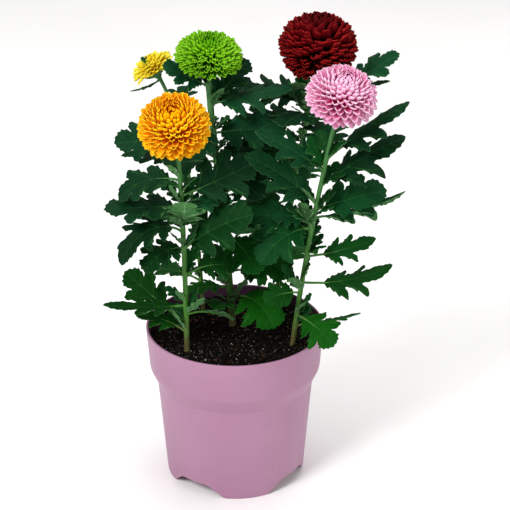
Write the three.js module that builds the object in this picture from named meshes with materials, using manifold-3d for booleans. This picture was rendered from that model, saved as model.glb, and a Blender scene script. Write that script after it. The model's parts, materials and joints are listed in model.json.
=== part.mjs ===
// A pot chrysanthemum: five plants, each grown to one bloom of its own colour, in a round
// plastic pot that stands on four lobes of its skirt. Millimetres, +Z up.
//
// Everything is laid out round the pot's axis, with Z = 0 on the surface that the pot
// stands on. The group at the end moves it all by POT_AXIS, which puts the origin under
// the middle of the whole plant's box.
import * as THREE from "three";
import { mergeVertices } from "three/addons/utils/BufferGeometryUtils.js";
import Module from "manifold-3d";

const wasm = await Module();
wasm.setup();

const DEGREE = Math.PI / 180;
const GOLDEN_ANGLE = 137.508 * DEGREE;

// ---------------------------------------------------------------- driving dimensions

const POT_AXIS = new THREE.Vector3(-15, -15, 0);

const POT = {
  height: 128,
  rimRadius: 70, // outside, at the top edge
  collarHeight: 33, // the upright band below the rim
  collarRadius: 67.6, // at the band's lower edge
  shoulderHeight: 13, // where the band slopes in to the body
  bodyRadius: 61.8, // just below the shoulder
  footRadius: 55.2, // outside, on the ground
  wall: 2,
  floorLevel: 11, // underside of the floor, inside the skirt
  floorThickness: 2,
  archHeight: 10.5, // of the four arches between the lobes
  lobeAzimuth: -80, // middle of the lobe that faces the front, degrees
  lobeFlat: 16, // half the angle over which a lobe touches the ground, degrees
  lobeEnd: 35, // where the arch has its full height, degrees from the lobe's middle
  sides: 48,
};

const SOIL = { level: 119.5, relief: 1.3, sides: 24, fitGap: 0.35 };

const STEM = {
  footLevel: 92, // where the stems end, down in the soil
  footRadius: 2.4,
  neckRadius: 1.9,
  cupRadius: 5.2, // the green cup under a full bloom
  fullBloom: 26, // a bloom of a smaller radius has a smaller cup
  cupHeight: 4,
  sides: 7,
  spans: 8,
  holeGap: 0.45, // clearance of the hole in the soil
  holeRise: 8, // how far above the soil's level the hole's axis is aimed
  holeSides: 10,
};

const SEAT_GAP = 0.3; // between two pieces that rest on each other

const LEAF = {
  petioleWidth: 2.2,
  petioleThickness: 1.8,
  ribThickness: 1.3,
  edgeThickness: 0.75,
  fold: 14, // how far each half rises from the rib unless the leaf says, degrees
  curl: 0.25, // how far the margin turns down again, as a share of the half width
  marginStart: 0.07, // least half width of the blade at its base, in half widths
};

const CORE = {
  share: 0.62, // radius of a bloom's core, in bloom radii
  seatShare: 0.42, // depth of its flat seat behind the bloom's centre, in bloom radii
  seatRadius: 5.6,
  sides: 10,
};

// The five plants. A stem is a cubic curve from foot to neck: foot and knee are its lower
// two points, and the upper two follow from where the bloom is and how it faces.
// A leaf is [height on the stem, azimuth, petiole, blade length, blade width,
// rise at the stem, droop to the tip, roll about the rib]: millimetres and degrees.
// Azimuth 0 is +X and -90 is the front. A positive roll turns the face to the leaf's right.
// A ninth number is the leaf's own fold, below 0 where its halves hang from the rib.
// girth is how thick a stem is, as a share of the sizes in STEM.
// dome and skirt flatten a bloom before and behind its middle, and last is the angle of its
// hindmost petals from its axis, in degrees.
const PLANTS = [
  {
    name: "orange",
    girth: 0.95,
    foot: [-37, -31],
    knee: [-36, -28, 190],
    bloom: {
      centre: [-42, -45, 311], azimuth: -97, elevation: 57,
      radius: 27, dome: 0.77, skirt: 0.8, last: 122, petals: 38,
    },
    neckLength: 26,
    leaves: [
      [136, 165, 9, 34, 24, 35, 45, -20],
      [151, 4, 15, 24, 20, 20, 60, -40],
      [159, 192, 8, 56, 24, 0, -12, -10],
      [144, 160, 20, 42, 34, 32, -6, -36],
      [184, 12, 12, 30, 30, 34, 60, 30],
      [207, 222, 4, 38, 32, 26, 76, -20],
      [206, -16, 8, 58, 50, 46, 26, 42],
      [220, 212, 12, 54, 40, 46, 122, -12],
      [224, -76, 4, 24, 34, 62, -10, -12],
      [240, 4, 5, 26, 24, 22, 20, 24],
      [242, 187, 6, 52, 44, 2, 4, -10],
      [250, 16, 12, 50, 46, 18, -4, 34],
      [263, 180, 8, 44, 38, 18, 74, -18],
    ],
  },
  {
    name: "green",
    girth: 1.3,
    foot: [-1, 12.5],
    knee: [-3, 14, 190],
    bloom: {
      centre: [-18.5, 15, 344], azimuth: -72, elevation: 75,
      radius: 26, dome: 0.56, skirt: 0.8, last: 108, petals: 36,
    },
    neckLength: 30,
    leaves: [
      [136, -118, 6, 26, 28, 50, 60, 0],
      [152, 200, 8, 32, 28, 24, 40, 0],
      [142, -47, 18, 41, 48, 46, 108, 14],
      [166, -14, 10, 34, 32, 20, 20, 30],
      [172, 104, 12, 44, 34, 10, 40, 0],
      [184, -28, 12, 46, 44, 10, 40, 36],
      [200, -54, 12, 38, 40, -4, 36, 20],
      [208, 100, 12, 44, 34, 14, 40, 0],
      [228, 20, 12, 46, 36, 14, 30, 20],
      [246, -44, 10, 38, 36, 16, 44, 20],
      [258, 196, 6, 34, 30, 10, 10, -24],
      [263, 8, 6, 46, 40, 20, 20, 20],
      [284, 250, 8, 34, 28, 10, 50, -10],
      [281, -14, 6, 52, 42, 16, 22, 32],
      [300, 32, 8, 40, 34, 54, 20, 20],
      [304, 0, 8, 56, 42, 18, 10, 14, -6],
      [318, 192, 6, 34, 34, 34, 10, -20],
    ],
  },
  {
    name: "red",
    girth: 1.1,
    foot: [32, 50],
    knee: [36, 50, 190],
    bloom: {
      centre: [63.5, 38, 345], azimuth: -50, elevation: 86,
      radius: 30.5, dome: 0.8, skirt: 1, last: 138, petals: 40,
    },
    neckLength: 34,
    leaves: [
      [152, 60, 10, 40, 32, 20, 40, 0],
      [165, -125, 10, 40, 34, 16, 40, 0],
      [178, 150, 12, 42, 32, 16, 40, 0],
      [214, -140, 12, 44, 38, 8, 30, -22],
      [222, 70, 12, 44, 32, 24, 40, 10],
      [240, 120, 12, 44, 32, 20, 40, 0],
      [262, -146, 12, 48, 40, 8, 56, -24],
      [272, 60, 12, 44, 32, 30, 30, 10],
      [284, 190, 10, 46, 38, 8, 20, -24],
      [288, -112, 10, 46, 40, 24, 30, 0],
      [303, 178, 8, 54, 36, 9, 14, -28],
      [294, 6, 34, 46, 36, 31, 1, 12],
      [298, 2, 32, 31, 24, 17, 4, 0],
      [308, 184, 6, 22, 14, 16, 50, -20],
    ],
  },
  {
    name: "pink",
    girth: 0.95,
    foot: [43, -19],
    knee: [47, -18, 165],
    bloom: {
      centre: [78.5, -30, 328], azimuth: -65, elevation: 66,
      radius: 27, dome: 0.77, skirt: 0.8, last: 122, petals: 38,
    },
    neckLength: 32,
    leaves: [
      [136, 18, 21, 34, 18, -6, -16, -14, 14],
      [145, -50, 9, 36, 32, 6, 40, 34, 10],
      [164, -152, 6, 26, 24, 20, 40, -50],
      [173, -2, 17, 55, 37, -4, -34, 14, -4],
      [195, 0, 13, 42, 30, 6, -20, 24, 8],
      [200, 100, 10, 40, 30, 20, 40, 0],
      [216, 178, 8, 44, 38, 34, 40, -30],
      [219, -146, 8, 46, 42, 14, 70, -20],
      [226, 186, 6, 26, 25, 20, 30, -24],
      [227, 2, 8, 64, 36, 12, -10, -30, -24],
      [238, 182, 8, 60, 42, 50, 26, -38],
      [234, 8, 8, 48, 46, 18, 10, 26, 10],
      [253, 2, 12, 62, 48, 41, 18, 16, -4],
      [277, 90, 10, 42, 38, 30, 40, 0],
      [266, 178, 8, 52, 32, 38, 14, -34],
      [275, -2, 16, 60, 43, 45, 15, 8, -6],
    ],
  },
  {
    name: "yellow",
    girth: 0.8,
    foot: [-25, 37],
    knee: [-28, 40, 190],
    bloom: {
      centre: [-61, 40, 325], azimuth: 176, elevation: 58,
      radius: 18, dome: 0.62, skirt: 0.8, last: 96, petals: 23,
    },
    neckLength: 40,
    leaves: [
      [146, 150, 10, 38, 30, 20, 40, 0],
      [172, 80, 10, 40, 32, 16, 40, 0],
      [196, 170, 10, 40, 30, 20, 36, -10],
      [226, 176, 8, 40, 32, 14, 30, 0],
      [244, 172, 12, 42, 32, 26, 36, 0],
      [263, 190, 10, 44, 40, 16, 20, -34],
      [288, 80, 10, 36, 26, 30, 40, 0],
      [317, 188, 3, 22, 6, -36, -32, 0],
    ],
  },
];

// ---------------------------------------------------------------- solids and vectors

// A closed three.js geometry as a manifold-3d solid.
function solidOf(geometry) {
  const bare = new THREE.BufferGeometry().setIndex(geometry.index);
  bare.setAttribute("position", geometry.getAttribute("position"));
  const merged = mergeVertices(bare, 1e-4);
  return new wasm.Manifold(
    new wasm.Mesh({
      numProp: 3,
      vertProperties: merged.attributes.position.array,
      triVerts: new Uint32Array(merged.index.array),
    }),
  );
}

function geometryOf(solid) {
  const mesh = solid.getMesh();
  const geometry = new THREE.BufferGeometry();
  geometry.setAttribute("position", new THREE.BufferAttribute(mesh.vertProperties, 3));
  geometry.setIndex(new THREE.BufferAttribute(mesh.triVerts, 1));
  geometry.computeVertexNormals();
  return geometry;
}

// Corner points and the triangles between them as a geometry.
function geometryFrom(points, triangles) {
  const geometry = new THREE.BufferGeometry().setFromPoints(points);
  geometry.setIndex(triangles.flat());
  return geometry;
}

// Joins rings of equal length, first to last, and closes both ends with a fan.
// Each ring runs anticlockwise when seen from the last one.
function loft(rings) {
  const count = rings[0].length;
  const triangles = [];
  for (let ring = 0; ring + 1 < rings.length; ring++)
    for (let i = 0; i < count; i++) {
      const a = ring * count + i;
      const b = ring * count + ((i + 1) % count);
      triangles.push([a, b, b + count], [a, b + count, a + count]);
    }
  const last = (rings.length - 1) * count;
  for (let i = 1; i + 1 < count; i++) {
    triangles.push([0, i + 1, i]);
    triangles.push([last, last + i, last + i + 1]);
  }
  return geometryFrom(rings.flat(), triangles);
}

// The unit vector at an azimuth and an elevation, in degrees.
function heading(azimuth, elevation) {
  const a = azimuth * DEGREE;
  const e = elevation * DEGREE;
  return new THREE.Vector3(Math.cos(a) * Math.cos(e), Math.sin(a) * Math.cos(e), Math.sin(e));
}

const smooth = (from, to, x) => THREE.MathUtils.smoothstep(x, from, to);

// ---------------------------------------------------------------- pot

const collarFoot = POT.height - POT.collarHeight;
const shoulderFoot = collarFoot - POT.shoulderHeight;
const floorTop = POT.floorLevel + POT.floorThickness;

// Outer radius of the body at a height below the shoulder.
const bodyRadiusAt = (z) => POT.footRadius + ((POT.bodyRadius - POT.footRadius) * z) / shoulderFoot;

// Height of the skirt's lower edge at an azimuth: on the ground under a lobe.
function skirtEdge(azimuth) {
  const quarter = (((azimuth - POT.lobeAzimuth) % 90) + 90) % 90;
  const fromLobe = Math.min(quarter, 90 - quarter);
  return POT.archHeight * smooth(POT.lobeFlat, POT.lobeEnd, fromLobe);
}

function potGeometry() {
  const inner = (radius) => radius - POT.wall;
  const profile = [
    [0, POT.floorLevel],
    [inner(bodyRadiusAt(POT.floorLevel)), POT.floorLevel],
    [inner(POT.footRadius), 0],
    [POT.footRadius, 0],
    [POT.bodyRadius, shoulderFoot],
    [POT.collarRadius, collarFoot],
    [POT.rimRadius, POT.height],
    [inner(POT.rimRadius), POT.height],
    [inner(POT.collarRadius), collarFoot],
    [inner(POT.bodyRadius), shoulderFoot],
    [inner(bodyRadiusAt(floorTop)), floorTop],
    [0, floorTop],
  ].map(([radius, z]) => new THREE.Vector2(radius, z));
  const geometry = new THREE.LatheGeometry(profile, POT.sides);
  geometry.rotateX(90 * DEGREE);
  geometry.rotateZ((POT.lobeAzimuth - 90) * DEGREE);
  const at = geometry.getAttribute("position");
  for (let i = 0; i < at.count; i++)
    if (at.getZ(i) < 0.01) {
      const azimuth = Math.atan2(at.getY(i), at.getX(i)) / DEGREE;
      at.setZ(i, skirtEdge(azimuth));
    }
  return geometry;
}

// ---------------------------------------------------------------- stems

const vector = ([x, y, z]) => new THREE.Vector3(x, y, z);

const bloomAxis = (plant) => heading(plant.bloom.azimuth, plant.bloom.elevation);

// The underside of a bloom's core lies this far behind its centre.
const seatDepth = ({ radius, dome }) => CORE.seatShare * radius * dome;

function stemCurve(plant) {
  const axis = bloomAxis(plant);
  const neck = vector(plant.bloom.centre).addScaledVector(axis, -seatDepth(plant.bloom) - SEAT_GAP);
  return new THREE.CubicBezierCurve3(
    vector([...plant.foot, STEM.footLevel]),
    vector(plant.knee),
    neck.clone().addScaledVector(axis, -plant.neckLength),
    neck,
  );
}

// The curve parameter at which a stem reaches a height.
function parameterAt(curve, height) {
  let low = 0;
  let high = 1;
  for (let i = 0; i < 40; i++) {
    const middle = (low + high) / 2;
    if (curve.getPoint(middle).z < height) low = middle;
    else high = middle;
  }
  return low;
}

// Foot to neck, with the cup that carries the bloom at the end.
function stemSolid(plant) {
  const curve = stemCurve(plant);
  const cupStart = 1 - STEM.cupHeight / curve.getLength();
  const stations = [];
  for (let i = 0; i <= STEM.spans; i++) {
    const t = (i / STEM.spans) * cupStart;
    stations.push([t, plant.girth * THREE.MathUtils.lerp(STEM.footRadius, STEM.neckRadius, t)]);
  }
  const cupRadius = STEM.cupRadius * Math.min(1, plant.bloom.radius / STEM.fullBloom);
  stations.push([(1 + cupStart) / 2, cupRadius * 0.8], [1, cupRadius]);
  const rings = stations.map(([t, radius]) => {
    const centre = curve.getPoint(t);
    const along = curve.getTangent(t);
    const side = new THREE.Vector3(1, 0, 0).cross(along).normalize();
    const other = side.clone().cross(along).negate();
    return Array.from({ length: STEM.sides }, (_, i) => {
      const turn = (i / STEM.sides) * 2 * Math.PI;
      return centre
        .clone()
        .addScaledVector(side, radius * Math.cos(turn))
        .addScaledVector(other, radius * Math.sin(turn));
    });
  });
  return solidOf(loft(rings));
}

// ---------------------------------------------------------------- leaves

// Half a blade, from its base to its tip. along is in blade lengths and across in half
// widths. Each fan is a point on the rib and the margin points that it reaches, and
// neighbouring fans share the notch between two lobes. A narrow leaf has a longer end lobe.
const BROAD_HALF = [
  { rib: 0.0, margin: [[0.0, 0.07], [0.07, 0.26]] },
  { rib: 0.16, margin: [[0.07, 0.26], [0.21, 0.72], [0.31, 0.86], [0.36, 0.42]] },
  { rib: 0.4, margin: [[0.36, 0.42], [0.52, 0.82], [0.67, 1.0], [0.68, 0.46]] },
  { rib: 0.68, margin: [[0.68, 0.46], [0.82, 0.58], [0.93, 0.36], [1.0, 0.0]] },
];
const NARROW_HALF = [
  { rib: 0.0, margin: [[0.0, 0.07], [0.07, 0.28]] },
  { rib: 0.13, margin: [[0.07, 0.28], [0.2, 0.78], [0.3, 0.95], [0.3, 0.41]] },
  { rib: 0.31, margin: [[0.3, 0.41], [0.44, 0.72], [0.57, 0.96], [0.54, 0.39]] },
  { rib: 0.56, margin: [[0.54, 0.39], [0.74, 0.46], [0.9, 0.31], [1.0, 0.0]] },
];
const BROAD_FROM = 0.78; // a blade is broad from this width on, in lengths

const LEAF_STEPS = 24; // of the walk along a leaf's rib

// Where a leaf's rib runs: the point, the leftward side and the face's normal at a
// distance from the stem's middle.
function ribOf(plant, leaf) {
  const [height, azimuth, petiole, blade, , rise, droop, roll] = leaf;
  const curve = stemCurve(plant);
  const start = curve.getPoint(parameterAt(curve, height));
  const length = petiole + blade;
  const points = [start];
  for (let i = 0; i < LEAF_STEPS; i++) {
    const middle = (i + 0.5) / LEAF_STEPS;
    const step = heading(azimuth, rise - droop * middle);
    points.push(points[i].clone().addScaledVector(step, length / LEAF_STEPS));
  }
  return (distance) => {
    const share = THREE.MathUtils.clamp(distance / length, 0, 1);
    const index = Math.min(Math.floor(share * LEAF_STEPS), LEAF_STEPS - 1);
    const along = heading(azimuth, rise - droop * share);
    const level = heading(azimuth + 90, 0);
    const upright = along.clone().cross(level);
    const c = Math.cos(roll * DEGREE);
    const s = Math.sin(roll * DEGREE);
    return {
      point: points[index].clone().lerp(points[index + 1], share * LEAF_STEPS - index),
      side: level.clone().multiplyScalar(c).addScaledVector(upright, s),
      normal: upright.clone().multiplyScalar(c).addScaledVector(level, -s),
    };
  };
}

// How far a blade reaches out and up from its rib at a share of its half width, in half
// widths. Both halves are folded at the rib, and the margin turns down again.
const foldedReach = (share, fold) => ({
  out: share * Math.cos(fold),
  up: Math.abs(share) * Math.sin(fold) - LEAF.curl * share * share,
});

// One leaf as a closed sheet: the petiole, then the two halves of the blade, split into
// the same triangles above and below.
function leafSolid(plant, leaf) {
  const [, , petiole, blade, width] = leaf;
  const fold = (leaf[8] ?? LEAF.fold) * DEGREE;
  const rib = ribOf(plant, leaf);
  const halfWidth = width / 2;
  const halfBlade = width < BROAD_FROM * blade ? NARROW_HALF : BROAD_HALF;
  const points = [];
  const upper = [];
  const index = new Map();
  const add = (distance, sideways, thickness) => {
    const key = distance.toFixed(3) + " " + sideways.toFixed(3);
    if (!index.has(key)) {
      const { point, side, normal } = rib(distance);
      const { out, up } = foldedReach(sideways / halfWidth, fold);
      const middle = point
        .addScaledVector(side, out * halfWidth)
        .addScaledVector(normal, up * halfWidth);
      const half = thickness / 2 / Math.cos(fold);
      index.set(key, points.length / 2);
      points.push(middle.clone().addScaledVector(normal, half));
      points.push(middle.clone().addScaledVector(normal, -half));
    }
    return index.get(key);
  };
  const marginStart = Math.max(LEAF.marginStart * halfWidth, LEAF.petioleWidth / 2);
  for (const hand of [1, -1]) {
    const face = (a, b, c) => upper.push(hand > 0 ? [a, b, c] : [a, c, b]);
    const ribPoint = ([along]) =>
      add(petiole + along * blade, 0, LEAF.ribThickness - along * (LEAF.ribThickness - LEAF.edgeThickness));
    const marginPoint = ([along, across]) => {
      const out = along === 0 ? marginStart : across * halfWidth;
      const thickness = along === 0 ? LEAF.ribThickness : LEAF.edgeThickness;
      return add(petiole + along * blade, hand * out, thickness);
    };
    halfBlade.forEach((fan, i) => {
      const hub = ribPoint([fan.rib]);
      const margin = fan.margin.map(marginPoint);
      for (let k = 0; k + 1 < margin.length; k++) face(hub, margin[k + 1], margin[k]);
      const next = halfBlade[i + 1];
      if (next) face(hub, ribPoint([next.rib]), margin.at(-1));
    });
  }
  // The petiole is a strip from the stem's middle, by way of its own middle, to the blade.
  const pair = (distance) =>
    [1, -1].map((hand) => add(distance, (hand * LEAF.petioleWidth) / 2, LEAF.petioleThickness));
  const [startLeft, startRight] = pair(0);
  const [left, right] = pair(petiole / 2);
  upper.push([startLeft, startRight, right], [startLeft, right, left]);
  const base = add(petiole, 0, LEAF.ribThickness);
  const [baseLeft, baseRight] = [1, -1].map((hand) => add(petiole, hand * marginStart, LEAF.ribThickness));
  upper.push([left, right, base], [left, base, baseLeft], [right, baseRight, base]);
  return solidOf(geometryFrom(points, closeSheet(upper)));
}

// The triangles of a sheet's upper face, given by point pair, made into a closed body:
// point pair n has its upper point at 2n and its lower one at 2n + 1.
function closeSheet(upper) {
  const edges = new Set(upper.flatMap(([a, b, c]) => [`${a} ${b}`, `${b} ${c}`, `${c} ${a}`]));
  const triangles = [];
  for (const [a, b, c] of upper) {
    triangles.push([2 * a, 2 * b, 2 * c], [2 * c + 1, 2 * b + 1, 2 * a + 1]);
  }
  for (const edge of edges) {
    const [a, b] = edge.split(" ").map(Number);
    if (edges.has(`${b} ${a}`)) continue;
    triangles.push([2 * a, 2 * a + 1, 2 * b + 1], [2 * a, 2 * b + 1, 2 * b]);
  }
  return triangles;
}

function leafyStem(plant) {
  const leaves = plant.leaves.map((leaf) => leafSolid(plant, leaf));
  return wasm.Manifold.union([stemSolid(plant), ...leaves]);
}

// ---------------------------------------------------------------- blooms

const PETAL = {
  lean: 5, // how far a petal's belly lies behind the line from root to tip, degrees
  rootReach: 0.38, // in bloom radii
  bellyReach: 0.84,
  innerWidth: 0.34, // of the first and the last petals, in bloom radii
  outerWidth: 0.44,
  rootShare: 0.5, // a petal's width at its root, in widths of its belly
  thickness: 1.1,
  cup: 0.22, // rise of the belly's two sides, in its widths
};

// A petal has three points round its root, four round its belly and one at its tip.
const PETAL_TRIANGLES = [
  [0, 2, 1],
  [0, 1, 4],
  [0, 4, 3],
  [1, 5, 4],
  [1, 2, 6],
  [1, 6, 5],
  [2, 0, 6],
  [0, 3, 6],
  [3, 4, 7],
  [4, 5, 7],
  [5, 6, 7],
  [6, 3, 7],
];

// The core is turned about the bloom's axis, with a flat seat behind.
function coreSolid({ radius, dome }) {
  const r = radius * CORE.share;
  const profile = [
    [0, -seatDepth({ radius, dome })],
    [CORE.seatRadius, -seatDepth({ radius, dome })],
    [0.8 * r, -0.3 * radius * dome],
    [r, 0],
    [0.78 * r, 0.62 * r * dome],
    [0, r * dome],
  ].map(([x, z]) => new THREE.Vector2(x, z));
  const geometry = new THREE.LatheGeometry(profile, CORE.sides);
  geometry.rotateX(90 * DEGREE);
  return solidOf(geometry);
}

// A petal is a trough that opens towards the bloom's front. It leaves the core at an
// angle from the bloom's axis and ends in a point on the bloom's outer shape. Petals
// follow one another at the golden angle, from the middle to the hindmost.
function petalSolid({ radius, dome, skirt, last, petals }, number) {
  const share = (number + 0.5) / petals;
  const angle = Math.acos(1 - (1 - Math.cos(last * DEGREE)) * share);
  const turn = number * GOLDEN_ANGLE;
  const side = new THREE.Vector3(-Math.sin(turn), Math.cos(turn), 0);
  const at = (polar, reach) =>
    new THREE.Vector3(
      Math.sin(polar) * Math.cos(turn),
      Math.sin(polar) * Math.sin(turn),
      Math.cos(polar) * (polar < Math.PI / 2 ? dome : skirt),
    ).multiplyScalar(reach * radius);
  const root = at(angle, PETAL.rootReach);
  const belly = at(angle + PETAL.lean * DEGREE, PETAL.bellyReach);
  const tip = at(angle, 1);
  const inward = tip.clone().sub(root).normalize().cross(side);
  const halfWidth = (radius / 2) * THREE.MathUtils.lerp(PETAL.innerWidth, PETAL.outerWidth, share);
  const cup = PETAL.cup * 2 * halfWidth;
  const beside = (centre, reach, raise) =>
    centre.clone().addScaledVector(side, reach).addScaledVector(inward, raise);
  const points = [
    beside(root, halfWidth * PETAL.rootShare, 0),
    beside(root, -halfWidth * PETAL.rootShare, 0),
    beside(root, 0, -PETAL.thickness),
    beside(belly, halfWidth, cup),
    belly,
    beside(belly, -halfWidth, cup),
    beside(belly, 0, -PETAL.thickness),
    tip,
  ];
  return solidOf(geometryFrom(points, PETAL_TRIANGLES));
}

function bloomSolid(bloom) {
  const petals = Array.from({ length: bloom.petals }, (_, i) => petalSolid(bloom, i));
  return wasm.Manifold.union([coreSolid(bloom), ...petals]);
}

// ---------------------------------------------------------------- soil

// A round hole along a stem's sunken length, open at the top.
function soilHole(plant) {
  const curve = stemCurve(plant);
  const foot = curve.getPoint(0);
  const mouth = curve.getPoint(parameterAt(curve, SOIL.level + STEM.holeRise));
  const along = mouth.clone().sub(foot).normalize();
  const radius = plant.girth * STEM.footRadius + STEM.holeGap;
  const length = mouth.distanceTo(foot) + SEAT_GAP;
  const geometry = new THREE.CylinderGeometry(radius, radius, length, STEM.holeSides);
  geometry.applyQuaternion(new THREE.Quaternion().setFromUnitVectors(new THREE.Vector3(0, 1, 0), along));
  const middle = foot.lerp(mouth, 0.5).addScaledVector(along, -SEAT_GAP / 2);
  return solidOf(geometry.translate(middle.x, middle.y, middle.z));
}

// The soil's crumbled surface, as a height over its level.
const crumble = (x, y) =>
  SOIL.relief * (Math.sin(x * 0.31 + 0.7 * Math.sin(y * 0.17)) * Math.cos(y * 0.27 + 0.9) - 0.5);

function soilSolid() {
  const gap = SOIL.fitGap;
  const innerBody = (z) => bodyRadiusAt(z) - POT.wall - gap;
  const rise = (SOIL.level - collarFoot) / POT.collarHeight;
  const topRadius = THREE.MathUtils.lerp(POT.collarRadius, POT.rimRadius, rise) - POT.wall - gap;
  const profile = [
    [0, floorTop + gap],
    [innerBody(floorTop), floorTop + gap],
    [innerBody(shoulderFoot), shoulderFoot],
    [POT.collarRadius - POT.wall - gap, collarFoot],
    [topRadius, SOIL.level],
    [topRadius * 0.75, SOIL.level],
    [topRadius * 0.5, SOIL.level],
    [topRadius * 0.25, SOIL.level],
    [0, SOIL.level],
  ].map(([radius, z]) => new THREE.Vector2(radius, z));
  const geometry = new THREE.LatheGeometry(profile, SOIL.sides);
  geometry.rotateX(90 * DEGREE);
  const at = geometry.getAttribute("position");
  for (let i = 0; i < at.count; i++)
    if (at.getZ(i) > SOIL.level - 0.01) at.setZ(i, SOIL.level + crumble(at.getX(i), at.getY(i)));
  return PLANTS.reduce((soil, plant) => soil.subtract(soilHole(plant)), solidOf(geometry));
}

// ---------------------------------------------------------------- the part

const plastic = (colour) => new THREE.MeshStandardMaterial({ color: colour, roughness: 0.5, metalness: 0 });
const living = (colour) => new THREE.MeshStandardMaterial({ color: colour, roughness: 0.7, metalness: 0 });

const PETAL_COLOURS = {
  orange: 0xf59a0c,
  green: 0x86c21c,
  red: 0x7d0b12,
  pink: 0xe39ac4,
  yellow: 0xf2dc1e,
};

function named(name, geometry, material) {
  const mesh = new THREE.Mesh(geometry, material);
  mesh.name = name;
  return mesh;
}

function bloomMesh(plant) {
  const colour = PETAL_COLOURS[plant.name];
  const mesh = named(`bloom_${plant.name}`, geometryOf(bloomSolid(plant.bloom)), living(colour));
  mesh.position.copy(vector(plant.bloom.centre));
  mesh.quaternion.setFromUnitVectors(new THREE.Vector3(0, 0, 1), bloomAxis(plant));
  return mesh;
}

const part = new THREE.Group();
part.position.copy(POT_AXIS);
part.add(named("pot", potGeometry(), plastic(0xbe90ac)));
part.add(named("soil", geometryOf(soilSolid()), living(0x241a14)));
for (const plant of PLANTS) {
  part.add(named(`leafy_stem_${plant.name}`, geometryOf(leafyStem(plant)), living(0x1f5a2c)));
  part.add(bloomMesh(plant));
}

export default part;
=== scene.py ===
# %% [markdown]
# # A pot chrysanthemum
# Five young chrysanthemums grow in one plastic pot, and each carries one bloom of its own
# colour. A measured CAD model gives every pot wall, stem, leaf and bloom its size and place.
# This notebook grows the fine surfaces over that model: moulded plastic, crumbly compost,
# ribbed stems, veined leaves and blooms of several hundred petals each.

# %% Load the measured model
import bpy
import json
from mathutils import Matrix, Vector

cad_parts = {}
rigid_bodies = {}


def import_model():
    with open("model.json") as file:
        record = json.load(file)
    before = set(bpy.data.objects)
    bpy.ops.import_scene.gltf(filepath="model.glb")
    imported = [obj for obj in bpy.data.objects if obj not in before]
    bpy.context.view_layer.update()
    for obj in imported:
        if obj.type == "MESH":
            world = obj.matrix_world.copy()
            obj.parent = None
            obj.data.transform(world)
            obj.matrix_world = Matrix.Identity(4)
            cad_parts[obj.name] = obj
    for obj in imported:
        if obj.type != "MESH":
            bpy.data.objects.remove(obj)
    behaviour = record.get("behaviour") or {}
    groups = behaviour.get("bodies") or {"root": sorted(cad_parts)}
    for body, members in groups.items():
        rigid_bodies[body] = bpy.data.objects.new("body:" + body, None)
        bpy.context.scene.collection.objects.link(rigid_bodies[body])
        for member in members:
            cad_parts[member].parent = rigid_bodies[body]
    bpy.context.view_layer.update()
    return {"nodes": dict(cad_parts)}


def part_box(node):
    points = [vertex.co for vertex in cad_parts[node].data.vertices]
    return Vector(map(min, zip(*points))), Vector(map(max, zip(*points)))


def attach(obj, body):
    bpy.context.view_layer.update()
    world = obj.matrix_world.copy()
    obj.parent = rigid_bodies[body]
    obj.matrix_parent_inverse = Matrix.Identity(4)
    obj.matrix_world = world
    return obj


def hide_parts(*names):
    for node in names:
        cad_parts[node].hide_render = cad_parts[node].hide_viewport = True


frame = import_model()
print("CAD nodes:", len(frame["nodes"]))

# %% Libraries and units
import json
import math
import random

import bpy
import numpy as np
from mathutils import Matrix, Vector, noise
from mathutils.geometry import delaunay_2d_cdt

MM = 0.001
GOLDEN_ANGLE = math.radians(137.508)

pot_low, pot_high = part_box("pot")
pot_axis = Vector(((pot_low.x + pot_high.x) / 2, (pot_low.y + pot_high.y) / 2, 0))
print("pot axis, mm:", [round(v / MM, 1) for v in pot_axis])


def show(name, data):
    """A new object in the scene that holds the data."""
    thing = bpy.data.objects.new(name, data)
    bpy.context.scene.collection.objects.link(thing)
    return thing


# %% [markdown]
# ## Camera, floor and light
# A plant like this is shot in a product studio: a long lens a little above the rim, looking
# down by about 25 degrees, on a pale floor. Three big soft lamps stand in for soft boxes. A
# long lens keeps the pot's walls nearly parallel, so it is the lens and not the distance
# that sets how large the plant is in the frame.

# %% Camera
VIEW_DISTANCE = 1.300
VIEW_PITCH = math.radians(25.41)
VIEW_TARGET = pot_axis + Vector((15.9, 0, 187.6)) * MM
LENS_MM, SENSOR_MM = 118.7, 36

camera = show("camera", bpy.data.cameras.new("camera"))
camera.data.lens, camera.data.sensor_width = LENS_MM, SENSOR_MM
back = Vector((0, -math.cos(VIEW_PITCH), math.sin(VIEW_PITCH)))
camera.location = VIEW_TARGET + back * VIEW_DISTANCE
camera.rotation_euler = back.to_track_quat("Z", "Y").to_euler()
bpy.context.scene.camera = camera
print("camera at, mm:", [round(v / MM) for v in camera.location])


# %% Colours
def colour(code):
    """A colour written as on the web, such as "be90ac", in the linear light that shaders use."""
    parts = [int(code[i : i + 2], 16) / 255 for i in (0, 2, 4)]
    linear = [c / 12.92 if c <= 0.04045 else ((c + 0.055) / 1.055) ** 2.4 for c in parts]
    return (*linear, 1.0)


# %% Floor, world and lamps
FLOOR_HALF = 3.0
DAYLIGHT = 0.38  # strength of the white world
LAMPS = {
    # name: (place in metres, size in metres, watts)
    "key": ((-1.3, -1.5, 1.9), 1.0, 50),
    "fill": ((1.7, -1.3, 1.1), 1.6, 16),
    "top": ((0.2, 0.5, 2.1), 1.8, 28),
}

corners = [(x * FLOOR_HALF, y * FLOOR_HALF, 0) for x, y in ((-1, -1), (1, -1), (1, 1), (-1, 1))]
floor_mesh = bpy.data.meshes.new("floor")
floor_mesh.from_pydata(corners, [], [(0, 1, 2, 3)])
floor = show("floor", floor_mesh)

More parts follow.
